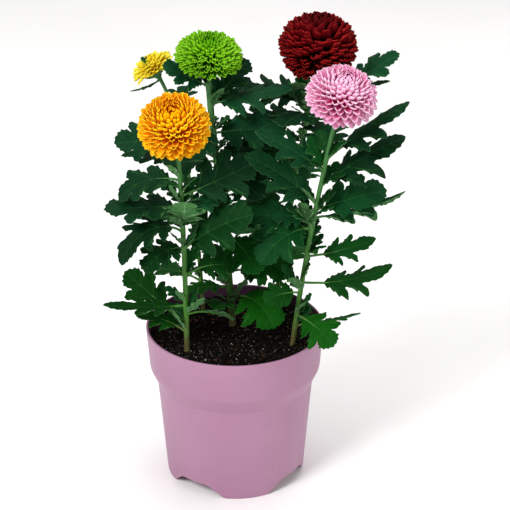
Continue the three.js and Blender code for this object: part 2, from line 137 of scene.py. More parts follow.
for name, (place, size, watts) in LAMPS.items():
    lamp = show(name, bpy.data.lights.new(name, "AREA"))
    lamp.data.shape, lamp.data.size, lamp.data.energy = "DISK", size, watts
    lamp.location = place
    lamp.rotation_euler = (Vector(place) - VIEW_TARGET).to_track_quat("Z", "Y").to_euler()

world = bpy.data.worlds.new("studio")
world.use_nodes = True
background = world.node_tree.nodes["Background"].inputs
background["Color"].default_value = (1.0, 1.0, 1.0, 1.0)
background["Strength"].default_value = DAYLIGHT
bpy.context.scene.world = world
bpy.context.scene.view_settings.view_transform = "Standard"
bpy.context.scene.view_settings.look = "None"
print("lamps:", len(LAMPS))

# %% [markdown]
# ## A helper for node trees
# Shaders and Geometry Nodes are both trees of nodes. Building them in code takes three acts
# over and over: add a node, set a socket, link a socket. One small class does all three, so
# the cells that follow read like recipes.


# %% Node helper
class Graph:
    """Adds nodes to a tree. An input is a value, a colour's code or the socket that feeds it."""

    def __init__(self, tree):
        self.tree = tree

    def feed(self, socket, value):
        if isinstance(value, bpy.types.NodeSocket):
            self.tree.links.new(value, socket)
        else:
            coded = socket.type == "RGBA" and isinstance(value, str)
            socket.default_value = colour(value) if coded else value

    def add(self, kind, inputs=None, **settings):
        node = self.tree.nodes.new(kind)
        for name, value in settings.items():
            setattr(node, name, value)
        for key, value in (inputs or {}).items():
            self.feed(node.inputs[key], value)
        return node

    def math(self, operation, *operands):
        node = self.add("ShaderNodeMath", operation=operation)
        for socket, value in zip(node.inputs, operands):
            self.feed(socket, value)
        return node.outputs[0]

    def plus(self, first, second):
        return self.math("ADD", first, second)

    def minus(self, first, second):
        return self.math("SUBTRACT", first, second)

    def times(self, first, second):
        return self.math("MULTIPLY", first, second)

    def xyz(self, x, y, z):
        return self.add("ShaderNodeCombineXYZ", {"X": x, "Y": y, "Z": z}).outputs[0]

    def scaled(self, vector, factor):
        return self.add("ShaderNodeVectorMath", {0: vector, "Scale": factor}, operation="SCALE").outputs[0]

    def remap(self, value, low, high, to_low=0.0, to_high=1.0):
        keys = {"Value": value, "From Min": low, "From Max": high, "To Min": to_low, "To Max": to_high}
        return self.add("ShaderNodeMapRange", keys).outputs["Result"]


class Finish(Graph):
    """A material under construction, with the few moves that every finish here needs."""

    def __init__(self, name, roughness=0.5, specular=0.5):
        self.material = bpy.data.materials.new(name)
        self.material.use_nodes = True
        super().__init__(self.material.node_tree)
        self.shader = self.tree.nodes["Principled BSDF"].inputs
        self.shader["Roughness"].default_value = roughness
        self.shader["Specular IOR Level"].default_value = specular
        self.place = self.add("ShaderNodeTexCoord").outputs["Object"]

    def noise(self, scale, detail=2.0, vector=None):
        inputs = {"Vector": vector or self.place, "Scale": scale, "Detail": detail}
        return self.add("ShaderNodeTexNoise", inputs).outputs["Fac"]

    def stretched(self, x, y, z):
        return self.add("ShaderNodeMapping", {"Vector": self.place, "Scale": (x, y, z)}).outputs[0]

    def attribute(self, name):
        return self.add("ShaderNodeAttribute", attribute_name=name).outputs["Fac"]

    def mix(self, share, first, second):
        return self.add("ShaderNodeMix", {0: share, 6: first, 7: second}, data_type="RGBA").outputs[2]

    def ramp(self, value, *stops):
        node = self.add("ShaderNodeValToRGB", {"Fac": value})
        points = node.color_ramp.elements
        while len(points) < len(stops):
            points.new(0.5)
        for point, (position, code) in zip(points, stops):
            point.position = position
            point.color = colour(code)
        return node.outputs["Color"]

    def bump(self, height, distance, strength=1.0, below=None):
        inputs = {"Height": height, "Distance": distance, "Strength": strength}
        if below is not None:
            inputs["Normal"] = below
        return self.add("ShaderNodeBump", inputs).outputs["Normal"]

    def done(self, tint, normal=None, roughness=None):
        self.feed(self.shader["Base Color"], tint)
        for key, value in {"Normal": normal, "Roughness": roughness}.items():
            if value is not None:
                self.feed(self.shader[key], value)
        print(f"finish {self.material.name}: {len(self.tree.nodes)} nodes")
        return self.material


pale_floor = Finish("pale_floor", roughness=0.9, specular=0.1)
floor_tone = pale_floor.ramp(pale_floor.noise(3.0), (0.3, "f4f3f2"), (0.7, "f8f7f6"))
floor_mesh.materials.append(pale_floor.done(floor_tone))


# %% Mesh helper
def new_piece(name, points, faces, *materials):
    """A smooth mesh object at the origin. Points are in metres, in the frame of the model."""
    mesh = bpy.data.meshes.new(name)
    mesh.from_pydata([tuple(p) for p in points], [], [tuple(f) for f in faces])
    mesh.polygons.foreach_set("use_smooth", [True] * len(mesh.polygons))
    for material in materials:
        mesh.materials.append(material)
    return show(name, mesh)


def mark(piece, layers):
    """Writes named values at the piece's points, for its finish to read."""
    for key, values in layers.items():
        layer = piece.data.attributes.new(key, "FLOAT", "POINT")
        layer.data.foreach_set("value", values.astype(np.float32))


def adopt(piece, slot, *nodes):
    """The piece moves with the plant and stands for the CAD nodes, which it hides. The slot is not used."""
    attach(piece, "root")
    if nodes:
        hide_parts(*nodes)
    print(f"{piece.name}: {sum(len(p.vertices) - 2 for p in piece.data.polygons)} triangles")


# %% [markdown]
# ## The pot
# A growing pot is one shot of polypropylene: a thin wall with a deep collar, a sloping
# shoulder, a tapering body and a skirt cut into four lobes, so that water can drain away
# under it. It could be modelled from a cylinder with loop cuts. Turning a profile is closer
# to how the mould is made, and lets each corner have its own radius. The arches of the skirt
# come last, by lifting the lowest rows of points by a smooth step round the axis.

# %% Pot sizes
POT = {
    "collar_height": 33,
    "collar_radius": 67.6,  # at the collar's lower edge
    "shoulder_height": 13,
    "body_radius": 61.8,  # just below the shoulder
    "foot_radius": 55.2,
    "wall": 2.0,
    "floor_level": 11,
    "floor_thickness": 2,
    "arch_height": 10.5,
    "lobe_azimuth": -80,  # of the lobe that faces the front, degrees
    "lobe_flat": 16,  # half the angle over which a lobe touches the ground
    "lobe_end": 35,  # where the arch is at its full height
}
rim_height = pot_high.z / MM
rim_radius = (pot_high.x - pot_low.x) / 2 / MM
collar_foot = rim_height - POT["collar_height"]
shoulder_foot = collar_foot - POT["shoulder_height"]
taper = (POT["body_radius"] - POT["foot_radius"]) / shoulder_foot
floor_top = POT["floor_level"] + POT["floor_thickness"]
print("rim:", round(rim_height, 1), "mm high,", round(rim_radius, 1), "mm radius")


# %% Turned profiles
def rounded(corners, steps=5):
    """A profile of (radius, height, fillet) corners with each fillet drawn as a short arc."""
    points = []
    for i, (x, y, fillet) in enumerate(corners):
        here = Vector((x, y))
        if not fillet or i in (0, len(corners) - 1):
            points.append(here)
            continue
        before = (Vector(corners[i - 1][:2]) - here).normalized()
        after = (Vector(corners[i + 1][:2]) - here).normalized()
        reach = fillet / math.tan(before.angle(after) / 2)
        start, end = here + before * reach, here + after * reach
        for k in range(steps + 1):
            t = k / steps
            points.append(start * (1 - t) ** 2 + here * 2 * t * (1 - t) + end * t**2)
    return points


def spaced(profile, step):
    """The profile with extra points, so that no two are further apart than the step."""
    points = [profile[0]]
    for a, b in zip(profile, profile[1:]):
        count = max(1, math.ceil((b - a).length / step))
        points += [a.lerp(b, k / count) for k in range(1, count + 1)]
    return points


def turned(profile, segments):
    """Points and faces of a profile turned about the pot's axis; its ends lie on the axis."""
    rows = len(profile) - 2
    points = [(0, 0, profile[0].y)]
    for x, z in profile[1:-1]:
        for k in range(segments):
            angle = 2 * math.pi * k / segments
            points.append((x * math.cos(angle), x * math.sin(angle), z))
    points.append((0, 0, profile[-1].y))
    last = len(points) - 1
    faces = []
    for k in range(segments):
        right = (k + 1) % segments
        faces.append((0, 1 + right, 1 + k))
        for row in range(rows - 1):
            a, b = 1 + row * segments + k, 1 + row * segments + right
            faces.append((a, b, b + segments, a + segments))
        top = 1 + (rows - 1) * segments
        faces.append((last, top + k, top + right))
    return points, faces


# %% Pot body
def smooth_step(low, high, value):
    t = min(max((value - low) / (high - low), 0.0), 1.0)
    return t * t * (3 - 2 * t)


def skirt_edge(x, y):
    """How high the skirt's edge is at a point round the pot: 0 under a lobe."""
    quarter = (math.degrees(math.atan2(y, x)) - POT["lobe_azimuth"]) % 90
    return POT["arch_height"] * smooth_step(POT["lobe_flat"], POT["lobe_end"], min(quarter, 90 - quarter))


def pot_profile():
    wall = POT["wall"]
    foot, body, collar = POT["foot_radius"], POT["body_radius"], POT["collar_radius"]
    return rounded(
        [
            (0, POT["floor_level"], 0),
            (foot + taper * POT["floor_level"] - wall, POT["floor_level"], 0),
            (foot - wall, 0, 0.8),
            (foot, 0, 0.8),
            (body, shoulder_foot, 1.5),
            (collar, collar_foot, 6.5),
            (rim_radius, rim_height, 0.7),
            (rim_radius - wall, rim_height, 0.7),
            (collar - wall, collar_foot, 5),
            (body - wall, shoulder_foot, 3),
            (foot + taper * floor_top - wall, floor_top, 1),
            (0, floor_top, 0),
        ]
    )


def pot_point(point):
    x, y, z = point
    if z < POT["floor_level"] - 0.01:
        edge = skirt_edge(x, y)
        raised = edge + z * (POT["floor_level"] - edge) / POT["floor_level"]
        widen = 1 + taper * (raised - z) / max(math.hypot(x, y), 1)
        x, y, z = x * widen, y * widen, raised
    return pot_axis + Vector((x, y, z)) * MM


# %% Pot finish
# Coloured polypropylene is satin, a little cloudy, and lightly scuffed by handling. The
# scuffs are long in height and narrow round the pot, because pots are pulled from a stack.
# Inside the rim the wall is darkened with painted shade, where the plant shades it: that painted
# shade starts a little inside the outer face and just above the collar's lower edge.
POT_STEP, POT_SIDES = 3.0, 192  # between points up the wall, and faces round it
SHADE_FROM, SHADE_FULL, SHADE_RISE = 0.8, 1.6, 2  # millimetres

plastic = Finish("pot_plastic", roughness=0.46, specular=0.42)
cloud = plastic.noise(14.0, 3.0)
scuffs = plastic.noise(1.0, 4.0, plastic.stretched(420, 420, 22))
tint = plastic.ramp(cloud, (0.3, "a0728e"), (0.72, "aa7d98"))
tint = plastic.mix(plastic.remap(scuffs, 0.62, 0.9, 0.0, 0.22), tint, "c3a3b7")
east, north, height = plastic.add("ShaderNodeSeparateXYZ", {0: plastic.place}).outputs
east, north = plastic.minus(east, pot_axis.x), plastic.minus(north, pot_axis.y)
squares = plastic.plus(plastic.times(east, east), plastic.times(north, north))
over_foot = plastic.minus(height, collar_foot * MM)
flare = plastic.times(over_foot, (rim_radius - POT["collar_radius"]) / POT["collar_height"])
from_axis = plastic.minus(plastic.math("SQRT", squares), flare)
outside = POT["collar_radius"] * MM
# Painted shade: the wall inside the rim darkens to 4a2840, from just inside the outer face and just above
# the collar's foot.
shade_inside_rim = plastic.remap(from_axis, outside - SHADE_FROM * MM, outside - SHADE_FULL * MM)
shade_above_foot = plastic.remap(over_foot, 0.0, SHADE_RISE * MM)
tint = plastic.mix(plastic.times(shade_inside_rim, shade_above_foot), tint, "4a2840")
uneven = plastic.bump(plastic.noise(26.0, 2.0), 0.0016, 0.35)
skin = plastic.bump(plastic.noise(900.0, 2.0), 0.00012, 0.5, uneven)
pot_material = plastic.done(tint, skin, plastic.remap(scuffs, 0.4, 0.8, 0.42, 0.56))

pot_points, pot_faces = turned(spaced(pot_profile(), POT_STEP), POT_SIDES)
pot = new_piece("flower_pot", [pot_point(p) for p in pot_points], pot_faces, pot_material)
adopt(pot, "pot", "pot")

# %% [markdown]
# ## The compost
# Compost is dark peat with bark crumbs, pale fibres and grains of perlite. One smooth disc
# would look like rubber, and a bump map alone stays flat at the rim where we look across it.
# So the surface is a real relief made with fractal noise, and Geometry Nodes scatter some
# thousands of small loose crumbs and pale flecks on it.

# %% Compost body
SOIL_LEVEL = 119.5
SOIL_GAP = 0.25  # to the pot's inner wall at the top
SOIL_FLOOR_GAP = 0.35
SOIL_WALL_GAPS = (1.4, 1.0, 1.2)  # at the pot's floor, its shoulder and its collar's foot
SOIL_RINGS, SOIL_SIDES = 84, 200


def soil_height(x, y):
    """The compost's height in millimetres at a place in millimetres from the pot's axis. It
    has slow swells, lumps of about 6 mm and crumbs of about 1 mm."""
    slow = noise.noise(Vector((x * 0.045, y * 0.045, 3.1)))
    lumps = noise.fractal(Vector((x * 0.16, y * 0.16, 7.7)), 1.0, 2.1, 4)
    crumbs = noise.noise(Vector((x * 0.9, y * 0.9, 1.3)))
    return SOIL_LEVEL - 0.5 + 1.3 * slow + 0.9 * lumps + 0.35 * crumbs


def wall_inside(z):
    """Inner radius of the pot at a height."""
    radii = [POT["foot_radius"], POT["body_radius"], POT["collar_radius"], rim_radius]
    return float(np.interp(z, [0, shoulder_foot, collar_foot, rim_height], radii)) - POT["wall"]


soil_radius = wall_inside(SOIL_LEVEL) - SOIL_GAP
soil_base = floor_top + SOIL_FLOOR_GAP
soil_sides = [Vector((0, soil_base))]
for level, gap in zip((floor_top, shoulder_foot, collar_foot), SOIL_WALL_GAPS):
    soil_sides.append(Vector((wall_inside(level) - gap, max(level, soil_base))))
soil_top = [Vector((soil_radius * (1 - k / SOIL_RINGS), SOIL_LEVEL)) for k in range(SOIL_RINGS + 1)]
soil_points, soil_faces = turned(soil_sides + soil_top, SOIL_SIDES)


def soil_point(point):
    x, y, z = point
    if z > SOIL_LEVEL - 0.01:
        z = soil_height(x, y)
    return pot_axis + Vector((x, y, z)) * MM


# %% Compost finishes
peat = Finish("peat", roughness=0.95, specular=0.06)
coarse, fine = peat.noise(330.0, 5.0), peat.noise(1300.0, 3.0)
tint = peat.ramp(coarse, (0.35, "060404"), (0.55, "0f0b09"), (0.75, "1e1611"))
tint = peat.mix(peat.remap(fine, 0.68, 0.78), tint, "4c443c")
peat_material = peat.done(tint, peat.bump(fine, 0.0006, 1.0, peat.bump(coarse, 0.0012, 1.0)))

CRUMB_TONES = (0.0, "050403"), (0.7, "15100c"), (0.96, "2e221a"), (1.0, "5a3524")
crumb = Finish("bark_crumb", roughness=0.9, specular=0.06)
tint = crumb.ramp(crumb.attribute("tone"), *CRUMB_TONES)
crumb_material = crumb.done(tint, crumb.bump(crumb.noise(1500.0), 0.0004, 0.8))

FLECK_TONES = (0.0, "6d6459"), (0.6, "9b958a"), (1.0, "cfccc4")
fleck = Finish("pale_fleck", roughness=0.8, specular=0.15)
tint = fleck.ramp(fleck.attribute("tone"), *FLECK_TONES)
fleck_material = fleck.done(tint, fleck.bump(fleck.noise(2500.0), 0.0002, 0.6))

soil = new_piece("compost", [soil_point(p) for p in soil_points], soil_faces, peat_material)
adopt(soil, "soil", "soil")


# %% Geometry Nodes helper
class Growth(Graph):
    """A Geometry Nodes tree. Its own inputs are given as {name: socket type}."""

    def __init__(self, name, inputs):
        super().__init__(bpy.data.node_groups.new(name, "GeometryNodeTree"))
        sockets = {"Geometry": "Geometry", **inputs, "Material": "Material"}
        for key, kind in sockets.items():
            self.tree.interface.new_socket(key, in_out="INPUT", socket_type="NodeSocket" + kind)
        self.tree.interface.new_socket("Geometry", in_out="OUTPUT", socket_type="NodeSocketGeometry")
        self.given = self.add("NodeGroupInput").outputs

    def random(self, low, high, stream):
        """A random value for each instance, or a vector if the limits are vectors. Streams are
        numbers that keep one use of chance apart from another."""
        first, out, kind = (0, 0, "FLOAT_VECTOR") if isinstance(low, tuple) else (2, 1, "FLOAT")
        seed = self.plus(self.given["Seed"], stream)
        node = self.add("FunctionNodeRandomValue", {"Seed": seed}, data_type=kind)
        self.feed(node.inputs[first], low)
        self.feed(node.inputs[first + 1], high)
        return node.outputs[out]

    def position(self):
        return self.add("GeometryNodeInputPosition").outputs[0]

    def tagged(self, geometry, name, value):
        """The instances with a named value on each, for the finish to read."""
        inputs = {"Geometry": geometry, "Name": name, "Value": value}
        kind = "GeometryNodeStoreNamedAttribute"
        return self.add(kind, inputs, domain="INSTANCE", data_type="FLOAT").outputs[0]

    def end(self, geometry):
        """Every tree ends alike: instances made real, faces smoothed and the finish set."""
        real = self.add("GeometryNodeRealizeInstances", {"Geometry": geometry}).outputs[0]
        smooth = self.add("GeometryNodeSetShadeSmooth", {"Geometry": real}).outputs[0]
        inputs = {"Geometry": smooth, "Material": self.given["Material"]}
        dressed = self.add("GeometryNodeSetMaterial", inputs).outputs[0]
        self.add("NodeGroupOutput", {"Geometry": dressed})
        print(f"tree {self.tree.name}: {len(self.tree.nodes)} nodes")
        return self.tree


def grow(name, seedbed, tree, values):
    """Runs a tree on an object and keeps the result as a plain mesh piece of that name."""
    modifier = seedbed.modifiers.new("grow", "NODES")
    modifier.node_group = tree
    for item in tree.interface.items_tree:
        if item.in_out == "INPUT" and item.name in values:
            modifier[item.identifier] = values[item.name]
    graph = bpy.context.evaluated_depsgraph_get()
    grown = seedbed.evaluated_get(graph)
    mesh = bpy.data.meshes.new_from_object(grown, preserve_all_data_layers=True, depsgraph=graph)
    mesh.name = name
    bpy.data.objects.remove(seedbed)
    return show(name, mesh)


# %% Scatter tree
# Points are strewn over the compost. Each takes a ball with few faces, stretched and turned
# at random, and noise then dents the balls so that no two crumbs are alike.
SMALL_BIAS = 2.5  # over 1, so that most crumbs are small
FLATNESS = 0.7
DENT_SCALE, DENT_DEPTH = 900.0, 0.0012


def scatter_tree():
    sizes = dict.fromkeys(("Density", "Smallest", "Largest", "Stretch"), "Float")
    g = Growth("strewn crumbs", {**sizes, "Seed": "Int"})
    given = g.given
    inputs = {"Mesh": given["Geometry"], "Density": given["Density"], "Seed": given["Seed"]}
    strewn = g.add("GeometryNodeDistributePointsOnFaces", inputs, distribute_method="RANDOM")
    ball = g.add("GeometryNodeMeshIcoSphere", {"Radius": 0.5, "Subdivisions": 1})
    turn = g.random((0, 0, 0), (6.28, 6.28, 6.28), 11)
    shrink = g.math("POWER", g.random(0.0, 1.0, 12), SMALL_BIAS)
    size = g.remap(shrink, 0.0, 1.0, given["Smallest"], given["Largest"])
    shape = g.xyz(g.times(size, given["Stretch"]), size, g.times(size, FLATNESS))
    inputs = {"Points": strewn.outputs["Points"], "Instance": ball.outputs["Mesh"]}
    inputs.update({"Rotation": turn, "Scale": shape})
    placed = g.add("GeometryNodeInstanceOnPoints", inputs).outputs[0]
    toned = g.tagged(placed, "tone", g.random(0.0, 1.0, 13))
    real = g.add("GeometryNodeRealizeInstances", {"Geometry": toned})
    inputs = {"Vector": g.position(), "Scale": DENT_SCALE, "Detail": 1.0}
    dent = g.add("ShaderNodeTexNoise", inputs).outputs["Color"]
    centred = g.add("ShaderNodeVectorMath", {0: dent, 1: (0.5, 0.5, 0.5)}, operation="SUBTRACT")
    push = g.scaled(centred.outputs[0], DENT_DEPTH)
    dented = g.add("GeometryNodeSetPosition", {"Geometry": real.outputs[0], "Offset": push})
    return g.end(dented.outputs[0])


# %% Strew the compost
SEEDBED_RINGS, SEEDBED_SIDES = 24, 72
SEEDBED_INSET = 2.0  # from the compost's edge
STREWN = {
    # name: (crumbs in a square metre, smallest and largest in mm, stretch, seed, finish)
    "bark_crumbs": (260000, 0.6, 3.0, 1.5, 3, crumb_material),
    "pale_flecks": (52000, 0.3, 1.1, 1.6, 8, fleck_material),
    "peat_fibres": (16000, 0.16, 0.4, 12.0, 21, fleck_material),
}


def seedbed_disc():
    """The compost's surface alone, short of the wall, for crumbs to lie on."""
    rings, sides = SEEDBED_RINGS, SEEDBED_SIDES
    reach = soil_radius - SEEDBED_INSET
    points, faces = [], []
    for ring in range(rings + 1):
        for k in range(sides):
            r, angle = reach * (ring + 0.02) / rings, 2 * math.pi * k / sides
            x, y = r * math.cos(angle), r * math.sin(angle)
            points.append(pot_axis + Vector((x, y, soil_height(x, y) + 0.1)) * MM)
    for ring in range(rings):
        for k in range(sides):
            a, b = ring * sides + k, ring * sides + (k + 1) % sides
            faces.append((a, a + sides, b + sides, b))
    return new_piece("seedbed", points, faces)


crumbs_tree = scatter_tree()
for name, (density, smallest, largest, stretch, seed, finish) in STREWN.items():
    inputs = {"Density": float(density), "Smallest": smallest * MM, "Largest": largest * MM}
    inputs.update({"Stretch": stretch, "Seed": seed, "Material": finish})
    adopt(grow(name, seedbed_disc(), crumbs_tree, inputs), "soil")

# %% [markdown]
# ## The plants
# Each plant is one table: where its stem enters the compost, where its bloom is and how it
# faces, and a line for every leaf. The same numbers shaped the CAD solids, so the fine
# stems, leaves and petals land on them. A stem is a cubic curve: the lower two of its four
# points are the foot and the knee, and the upper two follow from the bloom.

# %% Plant tables
# foot, knee and centre are in millimetres from the pot's axis. A leaf is [height on the
# stem, azimuth, petiole, blade length, blade width, rise at the stem, droop to the tip,
# roll about the rib], in millimetres and degrees. A ninth number is the leaf's own fold,
# below 0 where its halves hang from the rib. Azimuth 0 is +X and -90 is the front.
PLANTS = [
    {
        "name": "orange", "girth": 0.95, "foot": (-37, -31), "knee": (-36, -28, 190),
        "bloom": {
            "centre": (-42, -45, 311), "azimuth": -97, "elevation": 57,
            "radius": 27, "dome": 0.77, "skirt": 0.8, "last": 122,
        },
        "neck": 26,
        "leaves": [
            [136, 165, 9, 34, 24, 35, 45, -20], [151, 4, 15, 24, 20, 20, 60, -40],
            [159, 192, 8, 56, 24, 0, -12, -10], [144, 160, 20, 42, 34, 32, -6, -36],
            [184, 12, 12, 30, 30, 34, 60, 30], [207, 222, 4, 38, 32, 26, 76, -20],
            [206, -16, 8, 58, 50, 46, 26, 42], [220, 212, 12, 54, 40, 46, 122, -12],
            [224, -76, 4, 24, 34, 62, -10, -12], [240, 4, 5, 26, 24, 22, 20, 24],
            [242, 187, 6, 52, 44, 2, 4, -10], [250, 16, 12, 50, 46, 18, -4, 34],
            [263, 180, 8, 44, 38, 18, 74, -18],
        ],
    },
    {
        "name": "green", "girth": 1.3, "foot": (-1, 12.5), "knee": (-3, 14, 190),
        "bloom": {
            "centre": (-18.5, 15, 344), "azimuth": -72, "elevation": 75,
            "radius": 26, "dome": 0.56, "skirt": 0.8, "last": 108,
        },
        "neck": 30,
        "leaves": [
            [136, -118, 6, 26, 28, 50, 60, 0], [152, 200, 8, 32, 28, 24, 40, 0],
            [142, -47, 18, 41, 48, 46, 108, 14], [166, -14, 10, 34, 32, 20, 20, 30],
            [172, 104, 12, 44, 34, 10, 40, 0], [184, -28, 12, 46, 44, 10, 40, 36],
            [200, -54, 12, 38, 40, -4, 36, 20], [208, 100, 12, 44, 34, 14, 40, 0],
            [228, 20, 12, 46, 36, 14, 30, 20], [246, -44, 10, 38, 36, 16, 44, 20],
            [258, 196, 6, 34, 30, 10, 10, -24], [263, 8, 6, 46, 40, 20, 20, 20],
            [284, 250, 8, 34, 28, 10, 50, -10], [281, -14, 6, 52, 42, 16, 22, 32],
            [300, 32, 8, 40, 34, 54, 20, 20], [304, 0, 8, 56, 42, 18, 10, 14, -6],
            [318, 192, 6, 34, 34, 34, 10, -20],
        ],
    },
    {
        "name": "red", "girth": 1.1, "foot": (32, 50), "knee": (36, 50, 190),
        "bloom": {
            "centre": (63.5, 38, 345), "azimuth": -50, "elevation": 86,
            "radius": 30.5, "dome": 0.8, "skirt": 1, "last": 138,
        },
        "neck": 34,
        "leaves": [
            [152, 60, 10, 40, 32, 20, 40, 0], [165, -125, 10, 40, 34, 16, 40, 0],
            [178, 150, 12, 42, 32, 16, 40, 0], [214, -140, 12, 44, 38, 8, 30, -22],
            [222, 70, 12, 44, 32, 24, 40, 10], [240, 120, 12, 44, 32, 20, 40, 0],
            [262, -146, 12, 48, 40, 8, 56, -24], [272, 60, 12, 44, 32, 30, 30, 10],
            [284, 190, 10, 46, 38, 8, 20, -24], [288, -112, 10, 46, 40, 24, 30, 0],
            [303, 178, 8, 54, 36, 9, 14, -28], [294, 6, 34, 46, 36, 31, 1, 12],
            [298, 2, 32, 31, 24, 17, 4, 0], [308, 184, 6, 22, 14, 16, 50, -20],
        ],
    },
    {
        "name": "pink", "girth": 0.95, "foot": (43, -19), "knee": (47, -18, 165),
        "bloom": {
            "centre": (78.5, -30, 328), "azimuth": -65, "elevation": 66,
            "radius": 27, "dome": 0.77, "skirt": 0.8, "last": 122,
        },
        "neck": 32,
        "leaves": [
            [136, 18, 21, 34, 18, -6, -16, -14, 14], [145, -50, 9, 36, 32, 6, 40, 34, 10],
            [164, -152, 6, 26, 24, 20, 40, -50], [173, -2, 17, 55, 37, -4, -34, 14, -4],
            [195, 0, 13, 42, 30, 6, -20, 24, 8], [200, 100, 10, 40, 30, 20, 40, 0],
            [216, 178, 8, 44, 38, 34, 40, -30], [219, -146, 8, 46, 42, 14, 70, -20],
            [226, 186, 6, 26, 25, 20, 30, -24], [227, 2, 8, 64, 36, 12, -10, -30, -24],
            [238, 182, 8, 60, 42, 50, 26, -38], [234, 8, 8, 48, 46, 18, 10, 26, 10],
            [253, 2, 12, 62, 48, 41, 18, 16, -4], [277, 90, 10, 42, 38, 30, 40, 0],
            [266, 178, 8, 52, 32, 38, 14, -34], [275, -2, 16, 60, 43, 45, 15, 8, -6],
        ],
    },
    {
        "name": "yellow", "girth": 0.8, "foot": (-25, 37), "knee": (-28, 40, 190),
        "bloom": {
            "centre": (-61, 40, 325), "azimuth": 176, "elevation": 58,
            "radius": 18, "dome": 0.62, "skirt": 0.8, "last": 96,
        },
        "neck": 40,
        "leaves": [
            [146, 150, 10, 38, 30, 20, 40, 0], [172, 80, 10, 40, 32, 16, 40, 0],
            [196, 170, 10, 40, 30, 20, 36, -10], [226, 176, 8, 40, 32, 14, 30, 0],
            [244, 172, 12, 42, 32, 26, 36, 0], [263, 190, 10, 44, 40, 16, 20, -34],
            [288, 80, 10, 36, 26, 30, 40, 0], [317, 188, 3, 22, 6, -36, -32, 0],
        ],
    },
]  # fmt: skip
print("leaves:", sum(len(plant["leaves"]) for plant in PLANTS))


# %% Stem curves
# The stems' skins are a little thinner than the CAD solids, whose sides are flat.
STEM = {
    "foot_level": 92,
    "foot_radius": 2.15,
    "neck_radius": 1.65,
    "joint": 0.14,  # how much thicker the stem is where a leaf joins it
    "joint_reach": 2.4,  # over what height
    "cup_radius": 5.2,  # of the green cup under a full bloom
    "cup_reach": 5.0,  # how far down the stem the cup tapers
    "full_bloom": 26,  # a bloom of a smaller radius has a smaller cup
    "seat": 0.42,  # how far behind a bloom's centre the stem ends, in bloom heights
    "seat_gap": 0.3,
}


def heading(azimuth, elevation):
    """The unit vector at an azimuth and an elevation, in degrees. Either may be an array."""
    a, e = np.radians(azimuth), np.radians(elevation)
    return np.stack([np.cos(a) * np.cos(e), np.sin(a) * np.cos(e), np.sin(e)], axis=-1)


def bloom_axis(plant):
    return heading(plant["bloom"]["azimuth"], plant["bloom"]["elevation"])


def stem_at(plant, t):
    """Points of the stem's cubic curve, in millimetres from the pot's axis."""
    bloom, axis = plant["bloom"], bloom_axis(plant)
    depth = STEM["seat"] * bloom["radius"] * bloom["dome"] + STEM["seat_gap"]
    neck = np.array(bloom["centre"], float) - axis * depth
    foot, knee = np.array([*plant["foot"], STEM["foot_level"]], float), np.array(plant["knee"], float)
    below = neck - axis * plant["neck"]
    t = np.asarray(t, float)[..., None]
    return foot * (1 - t) ** 3 + knee * 3 * t * (1 - t) ** 2 + below * 3 * t**2 * (1 - t) + neck * t**3


def stem_share(plant, height):
    """How far along its curve a stem reaches a height."""
    t = np.linspace(0, 1, 600)
    return float(np.interp(height, stem_at(plant, t)[:, 2], t))


# %% [markdown]
# ## Leaves
# A chrysanthemum leaf has two deep lobes on each side and one at the end, all with blunt
# teeth. A picture on a flat plane would show its flat edge from the side. Here one leaf is
# drawn flat, as a margin and a tree of veins, and cut into triangles that follow both. It is
# then bent along the rib of each leaf in the table. The veins sink into the upper face and
# stand out below, and the blade swells a little between them.

